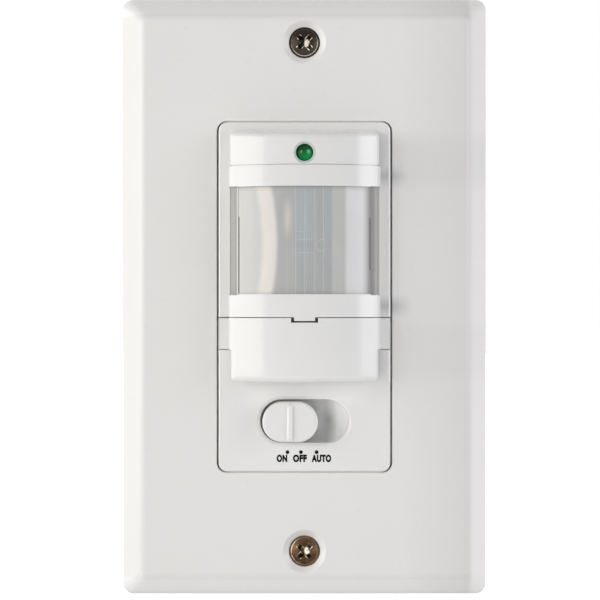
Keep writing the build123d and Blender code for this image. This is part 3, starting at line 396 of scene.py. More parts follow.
# painted shade and highlight on the sills beside the lens
sillShadePaint = {
    "tall": (0.3, 20.7, 0.05), "front": -8.0, "inside": 12.38, "outside": 14.2,
    "sill": rgb(0.28, 0.27, 0.25), "outer": (13.0, 14.2, 0.98, 0.78),
    "lip": rgb(0.94, 0.935, 0.92), "inner": (-12.66, -12.5, 0.05), "innerShare": 0.6,
    "dark": rgb(0.11, 0.107, 0.098), "darkSide": (12.9, 13.5, 0.9, 0),
}


def paintedSillShade(finish, base, side, out, up):
    # painted shade on the sills beside the lens, darkest next to its right edge, and a thin painted highlight
    # on the left sill next to the lens
    look = sillShadePaint
    sill = finish.strip(up, *look["tall"]) * (out < look["front"])
    sill = sill * (abs(side) > look["inside"]) * (abs(side) < look["outside"])
    # painted shade on the sills
    base = finish.tint(sill * finish.span(side, *look["outer"]), base, look["sill"])
    # thin painted highlight by the left edge of the lens
    base = finish.tint(sill * finish.strip(side, *look["inner"]) * look["innerShare"], base, look["lip"])
    # painted shade, darkest by the right edge of the lens
    return finish.tint(sill * (side > 0) * finish.span(side, *look["darkSide"]), base, look["dark"])


# painted light on the dome
domeLightPaint = {
    "front": -6.1, "side": 14.2, "light": rgb(0.94, 0.935, 0.92), "roof": (30.8, 31.3, 0, 0.7),
    "window": (0.3, 20.7, 0.1), "shine": (10.0, 13.2, 0.5), "shineShare": 0.5,
}


def paintedDomeLight(finish, base, side, out, up):
    # painted light on the roof, and a painted highlight down the right of the hood and the bands
    look = domeLightPaint
    dome = (out < look["front"]) * (abs(side) < look["side"])
    # painted light on the roof
    base = finish.tint(dome * finish.span(up, *look["roof"]), base, look["light"])
    # painted highlight down the right of the hood and the bands
    shine = dome * (1 - finish.strip(up, *look["window"])) * finish.strip(side, *look["shine"])
    return finish.tint(shine * look["shineShare"], base, look["light"])


# painted light and shade in the switch recess
recessLightPaint = {
    "endSide": 4.3, "endUp": -23.72, "lip": rgb(0.94, 0.935, 0.92), "rim": (4.2, 4.6, 0.06), "rimShare": 0.7,
    "rimFront": -5.2, "depth": (-5.7, -4.6), "floor": -2.0, "half": 8.6, "tall": (-28.2, -19.0, 0.05),
    "fade": (4.2, 6.2, 1, 0), "pale": rgb(0.93, 0.93, 0.92),
    "well": rgb(0.26, 0.26, 0.265), "wellUp": (-22.5, -19.6, 0.5, 0.15),
    "dark": rgb(0.12, 0.12, 0.125), "darkSide": 4.8, "darkUp": -23.7, "darkTall": 0.6,
    "darkFade": (0.2, 2.0, 0.6, 0),
}


def paintedRecessLight(finish, base, side, out, up):
    # the switch recess: a painted highlight on the rim at its end, painted light at the far end of the floor,
    # painted shade on the rest of the floor and a dark painted shadow beside the knob
    look = recessLightPaint
    end = finish.reach(side - look["endSide"], up - look["endUp"])
    rim = finish.strip(end, *look["rim"]) * (side > look["endSide"]) * (out < look["rimFront"])
    # painted highlight on the rim at the end
    base = finish.tint(rim * look["rimShare"], base, look["lip"])
    deep = finish.span(out, *look["depth"]) * (out < look["floor"])
    well = deep * (abs(side) < look["half"]) * finish.strip(up, *look["tall"])
    fade = finish.span(side, *look["fade"])
    # painted light at the far end of the floor
    base = finish.tint(well * (1 - fade), base, look["pale"])
    # painted shade on the floor
    base = finish.tint(well * fade * finish.span(up, *look["wellUp"]), base, look["well"])
    # painted shadow beside the knob
    away = finish.reach(side - look["darkSide"], (up - look["darkUp"]) * look["darkTall"])
    return finish.tint(well * finish.span(away, *look["darkFade"]), base, look["dark"])


def paintedHousingLight(finish, base, side, out, up):
    # all the painted light and shade on the front housing, one after another
    for paintedLight in (paintedBezelLight, paintedSillShade, paintedDomeLight, paintedRecessLight):
        base = paintedLight(finish, base, side, out, up)
    return base


# painted highlight and shade on the knob's finger rib
ribLightPaint = {
    "tall": (-27.2, -20.9, 0.15), "proud": -9.0,
    "lit": rgb(0.95, 0.945, 0.93), "litSide": (-3.22, -3.0, 0.06),
    "dim": rgb(0.5, 0.5, 0.5), "dimSide": (-2.2, -1.9, 0.12), "dimShare": 0.3,
}


def paintedRibLight(finish, base, side, out, up):
    # a painted highlight on the finger rib's left edge and painted shade on its right
    look = ribLightPaint
    rib = finish.strip(up, *look["tall"]) * (out < look["proud"])
    base = finish.tint(rib * finish.strip(side, *look["litSide"]), base, look["lit"])
    return finish.tint(rib * finish.strip(side, *look["dimSide"]) * look["dimShare"], base, look["dim"])


mould = {  # noises are (detail, roughness)
    "clouds": (4, 0.55), "grain": (2, 0.6), "peel": (3, 0.5), "specks": (0.05, 0.09, 1, 0),
    "cloudSpan": (0.35, 0.65), "speckDark": 0.6, "grainGloss": 0.06, "depth": 0.02 * mm, "ior": 1.49,
}


def mouldedPlastic(name, look):
    # smooth or grained plastic: cloudy colour, fine mould grain and slow waves in the gloss
    finish = newFinish(name)
    place = finish.place()
    clouds = finish.noise(place, look["cloudScale"], *mould["clouds"])
    grain = finish.noise(place, look["grainScale"], *mould["grain"])
    peel = finish.noise(place, look["peelScale"], *mould["peel"])
    specks = finish.span(finish.cells(place, look["speckScale"]), *mould["specks"])
    darker, paler = shade(look["colour"], 1 - look["cloud"]), shade(look["colour"], 1 + look["cloud"])
    base = finish.tint(finish.span(clouds, *mould["cloudSpan"]), darker, paler)
    base = finish.tint(specks * look["speck"], base, shade(look["colour"], mould["speckDark"]))
    # painted light and shade, where the look has them
    if look.get("paintedLight"):
        base = look["paintedLight"](finish, base, *finish.spot())
    rough = look["rough"] + (clouds - 0.5) * look["roughSpread"] + (grain - 0.5) * mould["grainGloss"]
    height = grain * look["grain"] + peel * look["peel"]
    sockets = {
        "Base Color": base, "Roughness": rough, "IOR": mould["ior"],
        "Coat Weight": look["coat"], "Coat Roughness": look["coatRough"],
        "Normal": finish.relief(height, 1.0, mould["depth"])}
    # painted light: a faint emission where the look has a glow
    if look.get("glow"):
        lit = look["glow"](finish, *finish.spot())
        sockets["Emission Color"] = finish.tint(lit, rgb(0, 0, 0), paintedGlow["colour"])
        sockets["Emission Strength"] = 1.0
    return finish.surface(sockets)


plating = {  # noises are (detail, roughness)
    "strokes": (4, 0.7), "patches": (3, 0.6), "patchSpan": (0.3, 0.7), "pits": (0.03, 0.12, 1, 0),
    "pitDull": 0.5, "strokeGloss": 0.22, "patchGloss": 0.14,
    "strokeHeight": 0.6, "patchHeight": 0.4, "pitHeight": 0.5,
}


def platedMetal(name, look):
    # plated metal: brushed or tumbled, with spots where the plating dulls
    finish = newFinish(name)
    place = finish.place()
    strokes = finish.noise(finish.stretched(place, look["stroke"]), look["strokeScale"], *plating["strokes"])
    patches = finish.noise(place, look["patchScale"], *plating["patches"])
    pits = finish.span(finish.cells(place, look["pitScale"]), *plating["pits"])
    base = finish.ramp(finish.span(patches, *plating["patchSpan"]), [
        (0, look["dull"]), (0.5, look["colour"]), (1, look["bright"])])
    base = finish.tint(pits * plating["pitDull"], base, look["dull"])
    rough = look["rough"] + (strokes - 0.5) * plating["strokeGloss"] + (patches - 0.5) * plating["patchGloss"]
    height = strokes * plating["strokeHeight"] + patches * plating["patchHeight"]
    height = height - pits * plating["pitHeight"]
    return finish.surface({"Base Color": base, "Metallic": 1.0, "Roughness": rough,
                           "Normal": finish.relief(height, 1.0, look["depth"])})


plateScrew = {
    "top": rgb(0.035, 0.028, 0.02), "bottom": rgb(0.105, 0.06, 0.03), "dark": rgb(0.014, 0.013, 0.012),
    # the bright colour serves both the wear and the painted highlights and glint
    "wearAndHighlight": rgb(0.86, 0.80, 0.68), "lower": (-5, 5, 1, 0), "up": 48.42,
    "patches": (900, 4, 0.6), "patchSpan": (0.36, 0.62, 0, 0.5), "strokes": (5200, 3, 0.7),
    "wear": (1500, 2, 0.5),
    "ring": (2.53, 0.05, 0.04), "ringWear": (0.25, 0.45), "ringLean": 0.3,
    "upperRing": (-0.9, 0.6, 0.5, 0.06), "lowerRing": (-1.9, -0.4, 0.6, 0.08),
    "cross": (0.37, 0.48, 0.05), "crossEnd": (1.7, 1.9, 1, 0), "crossWear": (0.46, 0.56),
    "glintSide": 0.45, "glintTall": 0.62, "glint": (0.3, 0.56, 1, 0), "sunk": (-4.9, -4.2, 0, 0.2),
    "rough": 0.3, "patchGloss": 0.3, "strokeGloss": 0.12, "strokeHeight": 0.5, "depth": 0.03 * mm,
}


def screwNickel():
    # the two plate screws: dark nickel, browner below; bright along the rim and the driver mark, partly wear
    # and partly painted highlight, with the rim brightest on one side as the light falls; a painted glint
    # beside the middle and painted shade in the sunk cross
    look = plateScrew
    finish = newFinish("screwNickel")
    place = finish.place()
    side, out, up = finish.spot()
    lower = finish.span(up, *look["lower"])
    patches = finish.noise(place, *look["patches"])
    strokes = finish.noise(place, *look["strokes"])
    wear = finish.noise(place, *look["wear"])
    along = abs(up) - look["up"]
    radius = finish.reach(side, along)
    nearest = abs(side + along).smaller(abs(side - along)) * math.sqrt(0.5)
    edge = finish.strip(nearest, *look["cross"]) * finish.span(radius, *look["crossEnd"])
    # painted glint, a small bright spot beside the middle of the head
    far = finish.reach(side - look["glintSide"], along * look["glintTall"])
    # painted highlight: the rim is bright only on the side where the light falls
    upperRing = finish.span(along - side * look["ringLean"], *look["upperRing"])
    lowerRing = finish.span(side, *look["lowerRing"])
    ring = finish.stroke(radius, *look["ring"]) * (upperRing * (1 - lower) + lowerRing * lower)
    wearAndHighlight = ring * finish.span(wear, *look["ringWear"]) + edge * finish.span(wear, *look["crossWear"])
    wearAndHighlight = wearAndHighlight + finish.span(far, *look["glint"])
    base = finish.tint(lower, look["top"], look["bottom"])
    base = finish.tint(finish.span(patches, *look["patchSpan"]), base, look["dark"])
    # painted shade in the sunk cross
    base = finish.tint(finish.span(out, *look["sunk"]), base, look["dark"])
    base = finish.tint(wearAndHighlight, base, look["wearAndHighlight"])
    rough = look["rough"] + (patches - 0.5) * look["patchGloss"] + (strokes - 0.5) * look["strokeGloss"]
    return finish.surface({
        "Base Color": base, "Metallic": 0.95, "Roughness": rough,
        "Normal": finish.relief(strokes * look["strokeHeight"] + patches, 1.0, look["depth"])})


milk = {
    "base": rgb(0.57, 0.565, 0.54), "line": rgb(0.66, 0.67, 0.67), "shadow": rgb(0.25, 0.25, 0.24),
    "bowUp": 10.0, "bowTall": 10.0, "bowShift": 0.5,
    # the bowed cream strip is a painted reflection of the left lamp
    "bowed": [(-8.4, -5.7, 0.5, rgb(0.77, 0.73, 0.68)), (-5.5, -1.0, 0.35, rgb(0.43, 0.43, 0.425))],
    # the pale strip from 7.75 to 11.2 is a painted reflection of the right lamp, the two at the right edge
    # painted shade
    "strips": [
        (-1.7, 5.15, 0.15, rgb(0.398, 0.404, 0.405)), (1.8, 3.5, 0.15, rgb(0.405, 0.41, 0.405)),
        (5.15, 7.6, 0.2, rgb(0.51, 0.51, 0.50)), (7.75, 11.2, 0.4, rgb(0.72, 0.72, 0.72)),
        (11.3, 11.7, 0.3, rgb(0.52, 0.52, 0.51)), (11.7, 12.6, 0.3, rgb(0.24, 0.235, 0.22))],
    "blue": rgb(0.385, 0.43, 0.45), "blueSide": (-1.7, 5.1, 0.15), "blueUp": (5.0, 13.0, 0, 0.7),
    "plainSide": (1.6, 3.4, 0.2), "plainShare": 0.8,
    "panel": rgb(0.35, 0.395, 0.415), "panelSide": (-1.6, 1.7, 0.15), "panelUp": (8.3, 10.6, 0.2),
    "panelShare": 0.5,
    "warm": rgb(0.62, 0.57, 0.50), "warmSide": (-3.7, -2.6, 0.5), "warmUp": (12.2, 17.2, 1.6),
    "lines": (-1.68, 0.0, 1.8, 3.5), "lineHalf": 0.05, "lineSoft": 0.05, "lineShare": 0.45,
    "bars": ((12.07, -1.6, -0.1), (10.7, -1.3, 1.5), (8.2, -1.3, 1.5)), "barSoft": 0.06, "barEnd": 0.1,
    "barShare": 0.6,
    "ring": (3.2, 9.6, 1.05), "ringFade": (3.2, 4.1, 0.5, 0.08),
    "slits": ((-12.3, 0.7, 15.0, rgb(0.03, 0.02, 0.01)), (12.25, 5.0, 14.8, rgb(0.03, 0.012, 0.005))),
    "slitHalf": 0.1, "slitSoft": 0.03, "slitEnd": 0.2,
    "upperShadow": (19.6, 20.5, 0, 0.3), "lowerShadow": (0.5, 1.1, 0.15, 0),
    "ribs": (2600, 2, 0.6), "ribStretch": (1.0, 1.0, 0.01), "ribSpan": (0.35, 0.75, 0, 0.16),
    "ribDepth": 0.02 * mm,
    "haze": (160, 4, 0.6), "hazeSpan": (0.4, 0.7, 0, 0.06), "rough": 0.24, "hazeGloss": 0.1,
}


def milkStripsAndReflections(finish, base, side, up):
    # strips from top to bottom in different tones, the left two bowing to the right: the pale cream strip on
    # the left and the pale strip on the right are painted reflections of the lamps, the darkest strips at the
    # right edge painted shade, and the middle is darker and bluer, partly the sensor behind the sheet and
    # partly painted reflection
    bow = (up - milk["bowUp"]) * (1 / milk["bowTall"])
    bent = side - (milk["bowShift"] - bow * bow)
    for low, high, soft, colour in milk["bowed"]:
        base = finish.tint(finish.strip(bent, low, high, soft), base, colour)
    for low, high, soft, colour in milk["strips"]:
        base = finish.tint(finish.strip(side, low, high, soft), base, colour)
    plain = 1 - finish.strip(side, *milk["plainSide"]) * milk["plainShare"]
    blue = finish.strip(side, *milk["blueSide"]) * finish.span(up, *milk["blueUp"]) * plain
    base = finish.tint(blue, base, milk["blue"])
    panel = finish.strip(side, *milk["panelSide"]) * finish.strip(up, *milk["panelUp"])
    base = finish.tint(panel * milk["panelShare"], base, milk["panel"])
    warm = finish.strip(side, *milk["warmSide"]) * finish.strip(up, *milk["warmUp"])
    return finish.tint(warm, base, milk["warm"])


def milkLines(finish, side, up):
    # fine pale lines between the strips, cross bars and part of a ring
    half = milk["lineHalf"]
    lines = 0
    for level in milk["lines"]:
        lines = lines + finish.stroke(side, level, half, milk["lineSoft"]) * milk["lineShare"]
    for level, low, high in milk["bars"]:
        bar = finish.stroke(up, level, half, milk["barSoft"]) * finish.strip(side, low, high, milk["barEnd"])
        lines = lines + bar * milk["barShare"]
    midSide, midUp, radius = milk["ring"]
    ring = finish.stroke(finish.reach(side - midSide, up - midUp), radius, half, milk["barSoft"])
    return lines + ring * finish.span(side, *milk["ringFade"])


def lensMilk():
    # the milky lens sheet, with a dark slit at each side and a little painted shadow under the bands and
    # along its foot
    finish = newFinish("lensMilk")
    place = finish.place()
    side, out, up = finish.spot()
    base = milkStripsAndReflections(finish, milk["base"], side, up)
    base = finish.tint(milkLines(finish, side, up), base, milk["line"])
    for middle, low, high, colour in milk["slits"]:
        slit = finish.stroke(side, middle, milk["slitHalf"], milk["slitSoft"])
        base = finish.tint(slit * finish.strip(up, low, high, milk["slitEnd"]), base, colour)
    ribs = finish.noise(finish.stretched(place, milk["ribStretch"]), *milk["ribs"])
    haze = finish.noise(place, *milk["haze"])
    base = finish.tint(finish.span(ribs, *milk["ribSpan"]), base, milk["line"])
    # painted shadow under the bands and along the foot, with haze of random tone
    shadow = finish.span(up, *milk["upperShadow"]) + finish.span(up, *milk["lowerShadow"])
    base = finish.tint(shadow + finish.span(haze, *milk["hazeSpan"]), base, milk["shadow"])
    return finish.surface({
        "Base Color": base, "Roughness": milk["rough"] + (haze - 0.5) * milk["hazeGloss"], "IOR": 1.45,
        "Coat Weight": 0.25, "Coat Roughness": 0.15,
        "Normal": finish.relief(ribs, 0.6, milk["ribDepth"])})


epoxy = {
    "up": 26.85, "swirl": (700, 3, 0.5), "lean": 0.8, "glow": (-1.2, 1.9), "swirlShare": 0.15,
    "stops": [(0, rgb(0.0005, 0.055, 0.012)), (0.5, rgb(0.0005, 0.16, 0.034)), (1, rgb(0.003, 0.32, 0.085))],
    # spot and bloom are painted highlights
    "spotSide": -0.62, "spotUp": 0.08, "spot": (0.08, 0.3, 0.5, 0), "spotTint": rgb(0.30, 0.42, 0.20),
    "bloomSide": 0.72, "bloomUp": 0.12, "bloom": (0.1, 0.5, 0.6, 0), "bloomTint": rgb(0.18, 0.68, 0.38),
    "rough": 0.1, "swirlGloss": 0.05, "depth": 0.01 * mm,
}


def lampGreen():
    # clear green epoxy with painted light: lighter towards the lower right, a painted highlight on the left
    # and a painted bloom of light on the right
    look = epoxy
    finish = newFinish("lampGreen")
    side, out, up = finish.spot()
    swirl = finish.noise(finish.place(), *look["swirl"])
    level = up - look["up"]
    # painted light: lighter towards the lower right
    glow = finish.span(side * look["lean"] - level, *look["glow"])
    base = finish.ramp(glow + (swirl - 0.5) * look["swirlShare"], look["stops"])
    for name in ("spot", "bloom"):
        away = finish.reach(side - look[name + "Side"], level - look[name + "Up"])
        base = finish.tint(finish.span(away, *look[name]), base, look[name + "Tint"])
    return finish.surface({
        "Base Color": base, "Roughness": look["rough"] + (swirl - 0.5) * look["swirlGloss"], "IOR": 1.2,
        "Normal": finish.relief(swirl, 0.3, look["depth"])})


ink = {
    "wear": (4200, 4, 0.7), "rough": 0.55, "wearGloss": 0.2, "depth": 0.005 * mm,
    "stops": [(0.3, rgb(0.007, 0.007, 0.008)), (0.7, rgb(0.016, 0.016, 0.016)),
              (0.82, rgb(0.05, 0.05, 0.05))],
}


def printedInk():
    # black printing ink, matt and a little thin in places
    finish = newFinish("printedInk")
    wear = finish.noise(finish.place(), *ink["wear"])
    return finish.surface({
        "Base Color": finish.ramp(wear, ink["stops"]),
        "Roughness": ink["rough"] + (wear - 0.5) * ink["wearGloss"], "IOR": 1.15,
        "Normal": finish.relief(wear, 0.4, ink["depth"])})


resist = {
    "offset": 0.37, "bricks": {"Color1": rgb(0.012, 0.13, 0.045), "Color2": rgb(0.016, 0.16, 0.055),
                               "Mortar": rgb(0.006, 0.075, 0.027), "Scale": 120, "Mortar Size": 0.035,
                               "Brick Width": 0.9, "Row Height": 0.32},
    "weave": (1800, 2, 0.5), "weaveSpan": (0.4, 0.7, 0, 0.25), "weaveTint": rgb(0.03, 0.22, 0.08),
    "rough": 0.3, "weaveGloss": 0.15, "weaveHeight": 0.2, "trackHeight": 0.8, "depth": 0.03 * mm,
}


def boardResist():
    # green solder resist over copper tracks
    look = resist
    finish = newFinish("boardResist")
    place = finish.place()
    side, out, up = finish.axes(place)
    flat = finish.out(finish.node("ShaderNodeCombineXYZ", None, {0: side, 1: up}))
    tracks = finish.node("ShaderNodeTexBrick", {"offset": look["offset"]}, {"Vector": flat, **look["bricks"]})
    weave = finish.noise(place, *look["weave"])
    base = finish.tint(finish.span(weave, *look["weaveSpan"]), finish.out(tracks, "Color"), look["weaveTint"])
    height = weave * look["weaveHeight"] - finish.out(tracks, "Fac") * look["trackHeight"]
    return finish.surface({
        "Base Color": base, "Roughness": look["rough"] + (weave - 0.5) * look["weaveGloss"],
        "Coat Weight": 0.3, "Coat Roughness": 0.15, "Normal": finish.relief(height, 0.8, look["depth"])})


cell = {
    "grit": (3800, 3, 0.6), "gritSpan": (0.3, 0.7),
    "dark": rgb(0.52, 0.24, 0.08), "light": rgb(0.66, 0.36, 0.15),
    "groove": (-4.2, -3.8, 0, 0.3), "grooveTint": rgb(0.8, 0.72, 0.6), "rough": 0.4, "gritGloss": 0.2,
    "depth": 0.02 * mm,
}


def cellFace():
    # the daylight cell: ochre ceramic under a clear coat, paler in its groove
    finish = newFinish("cellFace")
    side, out, up = finish.spot()
    grit = finish.noise(finish.place(), *cell["grit"])
    base = finish.tint(finish.span(grit, *cell["gritSpan"]), cell["dark"], cell["light"])
    base = finish.tint(finish.span(out, *cell["groove"]), base, cell["grooveTint"])
    return finish.surface({
        "Base Color": base, "Roughness": cell["rough"] + (grit - 0.5) * cell["gritGloss"], "Coat Weight": 0.5,
        "Normal": finish.relief(grit, 0.6, cell["depth"])})


fibre = {
    "stretch": (1.0, 1.0, 0.12), "strands": (2400, 5, 0.7), "rough": 0.7, "strandGloss": 0.3,
    "depth": 0.05 * mm,
    "stops": [(0.25, rgb(0.16, 0.09, 0.06)), (0.55, rgb(0.28, 0.17, 0.12)), (0.8, rgb(0.42, 0.30, 0.22))],
}


def fibreSheet():
    # brown vulcanised fibre with strands across it
    finish = newFinish("fibreSheet")
    strands = finish.noise(finish.stretched(finish.place(), fibre["stretch"]), *fibre["strands"])
    return finish.surface({
        "Base Color": finish.ramp(strands, fibre["stops"]),
        "Roughness": fibre["rough"] + (strands - 0.5) * fibre["strandGloss"],
        "Normal": finish.relief(strands, 0.9, fibre["depth"])})


gloss = dict(colour=rgb(0.79, 0.785, 0.77), cloud=0.007, cloudScale=60, grain=0.2, grainScale=3600,
             peel=0.7, peelScale=380, speck=0.08, speckScale=300, rough=0.2, roughSpread=0.08,
             coat=0.25, coatRough=0.06)
plastics = {
    "plateWhite": dict(colour=rgb(0.80, 0.786, 0.765), cloud=0.008, cloudScale=45, grain=0.5, grainScale=3400,
                       peel=0.9, peelScale=420, speck=0.10, speckScale=260, rough=0.34, roughSpread=0.12,
                       coat=0.12, coatRough=0.2, paintedLight=paintedPlateLight, glow=paintedGapGlow),
    "bodyWhite": gloss,
    "housingWhite": dict(gloss, peel=0.3, paintedLight=paintedHousingLight, glow=paintedHousingGlow),
    "knobWhite": dict(gloss, paintedLight=paintedRibLight),
    "innerWhite": dict(colour=rgb(0.72, 0.72, 0.69), cloud=0.02, cloudScale=120, grain=0.8, grainScale=2600,
                       peel=0.6, peelScale=500, speck=0.2, speckScale=300, rough=0.42, roughSpread=0.12,
                       coat=0.0, coatRough=0.2),
    "rearBlack": dict(colour=rgb(0.032, 0.033, 0.035), cloud=0.2, cloudScale=110, grain=4.2, grainScale=1500,
                      peel=1.4, peelScale=420, speck=0.35, speckScale=620, rough=0.46, roughSpread=0.3,
                      coat=0.05, coatRough=0.3),
    "innerBlack": dict(colour=rgb(0.03, 0.03, 0.031), cloud=0.1, cloudScale=200, grain=1.2, grainScale=3000,
                       peel=0.6, peelScale=700, speck=0.1, speckScale=500, rough=0.42, roughSpread=0.15,
                       coat=0.1, coatRough=0.25),
    "sleeveBlack": dict(colour=rgb(0.02, 0.021, 0.026), cloud=0.1, cloudScale=300, grain=0.3, grainScale=2600,
                        peel=1.8, peelScale=600, speck=0.05, speckScale=500, rough=0.25, roughSpread=0.1,
                        coat=0.4, coatRough=0.15),
    "relayBlue": dict(colour=rgb(0.035, 0.12, 0.32), cloud=0.05, cloudScale=150, grain=0.9, grainScale=2600,
                      peel=0.8, peelScale=500, speck=0.1, speckScale=400, rough=0.36, roughSpread=0.12,
                      coat=0.1, coatRough=0.2),
    "filmYellow": dict(colour=rgb(0.62, 0.42, 0.06), cloud=0.05, cloudScale=180, grain=0.5, grainScale=2600,
                       peel=1.2, peelScale=450, speck=0.1, speckScale=400, rough=0.28, roughSpread=0.1,
                       coat=0.3, coatRough=0.12),
    "discBlue": dict(colour=rgb(0.03, 0.12, 0.33), cloud=0.08, cloudScale=260, grain=0.9, grainScale=2200,
                     peel=2.0, peelScale=480, speck=0.2, speckScale=500, rough=0.38, roughSpread=0.15,
                     coat=0.25, coatRough=0.2),
    "filterDark": dict(colour=rgb(0.05, 0.042, 0.05), cloud=0.15, cloudScale=300, grain=0.1, grainScale=3000,
                       peel=0.3, peelScale=400, speck=0.05, speckScale=500, rough=0.1, roughSpread=0.05,
                       coat=0.6, coatRough=0.04),
    "lipWhite": dict(colour=rgb(0.72, 0.83, 0.76), cloud=0.02, cloudScale=200, grain=0.2, grainScale=3600,
                     peel=0.3, peelScale=600, speck=0.05, speckScale=500, rough=0.2, roughSpread=0.08,
                     coat=0.25, coatRough=0.06),
}
metals = {
    "strapZinc": dict(colour=rgb(0.60, 0.60, 0.58), dull=rgb(0.45, 0.45, 0.44), bright=rgb(0.72, 0.72, 0.71),
                      stroke=(1.0, 1.0, 0.06), strokeScale=1700, patchScale=170, pitScale=420, rough=0.38,
                      depth=0.03 * mm),
    "screwZinc": dict(colour=rgb(0.62, 0.60, 0.54), dull=rgb(0.42, 0.40, 0.36), bright=rgb(0.76, 0.74, 0.70),
                      stroke=(1.0, 1.0, 1.0), strokeScale=2600, patchScale=500, pitScale=900, rough=0.3,
                      depth=0.02 * mm),
    "earthGreen": dict(colour=rgb(0.03, 0.27, 0.10), dull=rgb(0.02, 0.17, 0.07), bright=rgb(0.07, 0.38, 0.17),
                       stroke=(1.0, 1.0, 1.0), strokeScale=2200, patchScale=420, pitScale=800, rough=0.34,
                       depth=0.02 * mm),
    "terminalBrass": dict(colour=rgb(0.68, 0.50, 0.22), dull=rgb(0.50, 0.35, 0.15),
                          bright=rgb(0.80, 0.63, 0.33), stroke=(1.0, 0.08, 1.0), strokeScale=1900,
                          patchScale=350, pitScale=900, rough=0.3, depth=0.02 * mm),
    "canNickel": dict(colour=rgb(0.66, 0.64, 0.60), dull=rgb(0.52, 0.50, 0.46), bright=rgb(0.78, 0.77, 0.74),
                      stroke=(1.0, 0.2, 1.0), strokeScale=2600, patchScale=400, pitScale=1200, rough=0.26,
                      depth=0.01 * mm),
    "tinnedWire": dict(colour=rgb(0.66, 0.66, 0.66), dull=rgb(0.50, 0.50, 0.50), bright=rgb(0.80, 0.80, 0.80),
                       stroke=(1.0, 0.1, 1.0), strokeScale=3200, patchScale=900, pitScale=1600, rough=0.3,
                       depth=0.01 * mm),
}
finishes = {name: mouldedPlastic(name, look) for name, look in plastics.items()}
finishes.update({name: platedMetal(name, look) for name, look in metals.items()})
finishes.update(screwNickel=screwNickel(), lensMilk=lensMilk(), lampGreen=lampGreen(),
                printedInk=printedInk(), boardResist=boardResist(), cellFace=cellFace(),
                fibreSheet=fibreSheet())

wearers = {
    "plateWhite": ["wall_plate"],
    "bodyWhite": ["adjustment_cover"],
    "knobWhite": ["slide_knob"],
    "housingWhite": ["front_housing"],
    "screwNickel": ["plate_screws"],
    "lensMilk": ["sensor_lens"],
    "lampGreen": ["status_led"],
    "strapZinc": ["mounting_strap"],
    "screwZinc": ["box_screws", "board_screws", "housing_screws"],
    "earthGreen": ["ground_screw"],
    "fibreSheet": ["screw_retainers"],
    "rearBlack": ["rear_housing"],
    "terminalBrass": ["terminal_plates", "terminal_screws"],
    "innerWhite": ["lens_retainer", "led_spacer", "light_knob", "time_knob", "range_knob", "knob_carriage"],
    "innerBlack": ["sensor_spacer", "trimmer_bodies", "switch_slider", "board_connector", "controller_chip",
                   "choke", "fuse"],
    "canNickel": ["pyro_sensor", "slide_switch_case"],
    "filterDark": ["pyro_window"],
    "cellFace": ["light_sensor"],
    "tinnedWire": ["led_leads"],
    "boardResist": ["sensor_board", "power_board"],
    "relayBlue": ["relay"],
    "filmYellow": ["film_capacitor"],
    "sleeveBlack": ["smoothing_capacitor"],
    "discBlue": ["surge_disc"],
}
for name, nodes in wearers.items():
    for node in nodes:
        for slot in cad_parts[node].material_slots:
            slot.material = finishes[name]
missed = set(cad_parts) - {node for nodes in wearers.values() for node in nodes}
print("finishes made:", len(finishes), "nodes without one:", sorted(missed))


def makePiece(name, shell, finish, sharp=0):
    # a mesh piece from a bmesh, smooth except where faces meet at more than sharp degrees
    mesh = bpy.data.meshes.new(name)
    shell.to_mesh(mesh)
    shell.free()
    if sharp:
        for polygon in mesh.polygons:
            polygon.use_smooth = True
        mesh.set_sharp_from_angle(angle=math.radians(sharp))
    mesh.materials.append(finishes[finish])
    piece = bpy.data.objects.new(name, mesh)
    bpy.context.collection.objects.link(piece)
    return piece


lensSheet = {
    "front": 13.2, "arc": 26.2, "half": 12.37, "low": 0.53, "high": 20.57, "thick": 0.85,
    "columns": 420, "rows": 130, "ribPitch": 0.42, "ribDepth": 0.014,
    "seams": (-1.71, 0.19, 1.76, 3.62), "seamDepth": 0.05, "seamWidth": 0.08,
    "bars": ((12.07, -1.71, 1.76), (10.0, -1.71, 1.76), (7.6, -1.71, 1.76)), "barDepth": 0.035,
    "rings": ((3.2, 9.6, 1.05), (3.2, 9.6, 1.6)), "ringDepth": 0.02, "deepest": 0.09,
    "flangeHalf": 12.2, "flangeLow": -0.8, "flangeHigh": 21.9, "flangeThick": 0.8, "flangeBack": 0.85,
    "flangeColumns": 60, "flangeRows": 2, "sharp": 50,
}


def lensDepth(side, height):
    # how far the surface lies behind the smooth front, in millimetres
    depth = lensSheet["ribDepth"] * (1 - math.cos(2 * math.pi * side / lensSheet["ribPitch"])) / 2
    wide = lensSheet["seamWidth"]
    for seam in lensSheet["seams"]:
        depth += lensSheet["seamDepth"] * math.exp(-((side - seam) / wide) ** 2)
    for level, low, high in lensSheet["bars"]:
        if low < side < high:
            depth += lensSheet["barDepth"] * math.exp(-((height - level) / wide) ** 2)
    for midSide, midHeight, radius in lensSheet["rings"]:
        away = math.hypot(side - midSide, height - midHeight) - radius
        depth += lensSheet["ringDepth"] * math.exp(-(away / wide) ** 2)
    return min(depth, lensSheet["deepest"])


def arcPoint(side, front, height):
    # a point on the lens's arc, this far in front of the wall at the middle
    radius = lensSheet["arc"] - (lensSheet["front"] - front)
    centre = lensSheet["front"] - lensSheet["arc"]
    angle = math.asin(side / lensSheet["arc"])
    return (radius * math.sin(angle) * mm, -(centre + radius * math.cos(angle)) * mm, height * mm)


def curvedGrid(shell, half, low, high, columns, rows, frontAt):
    grid = []
    for row in range(rows + 1):
        height = low + (high - low) * row / rows
        line = []
        for column in range(columns + 1):
            side = -half + 2 * half * column / columns
            line.append(shell.verts.new(arcPoint(side, frontAt(side, height), height)))
        grid.append(line)
    return grid


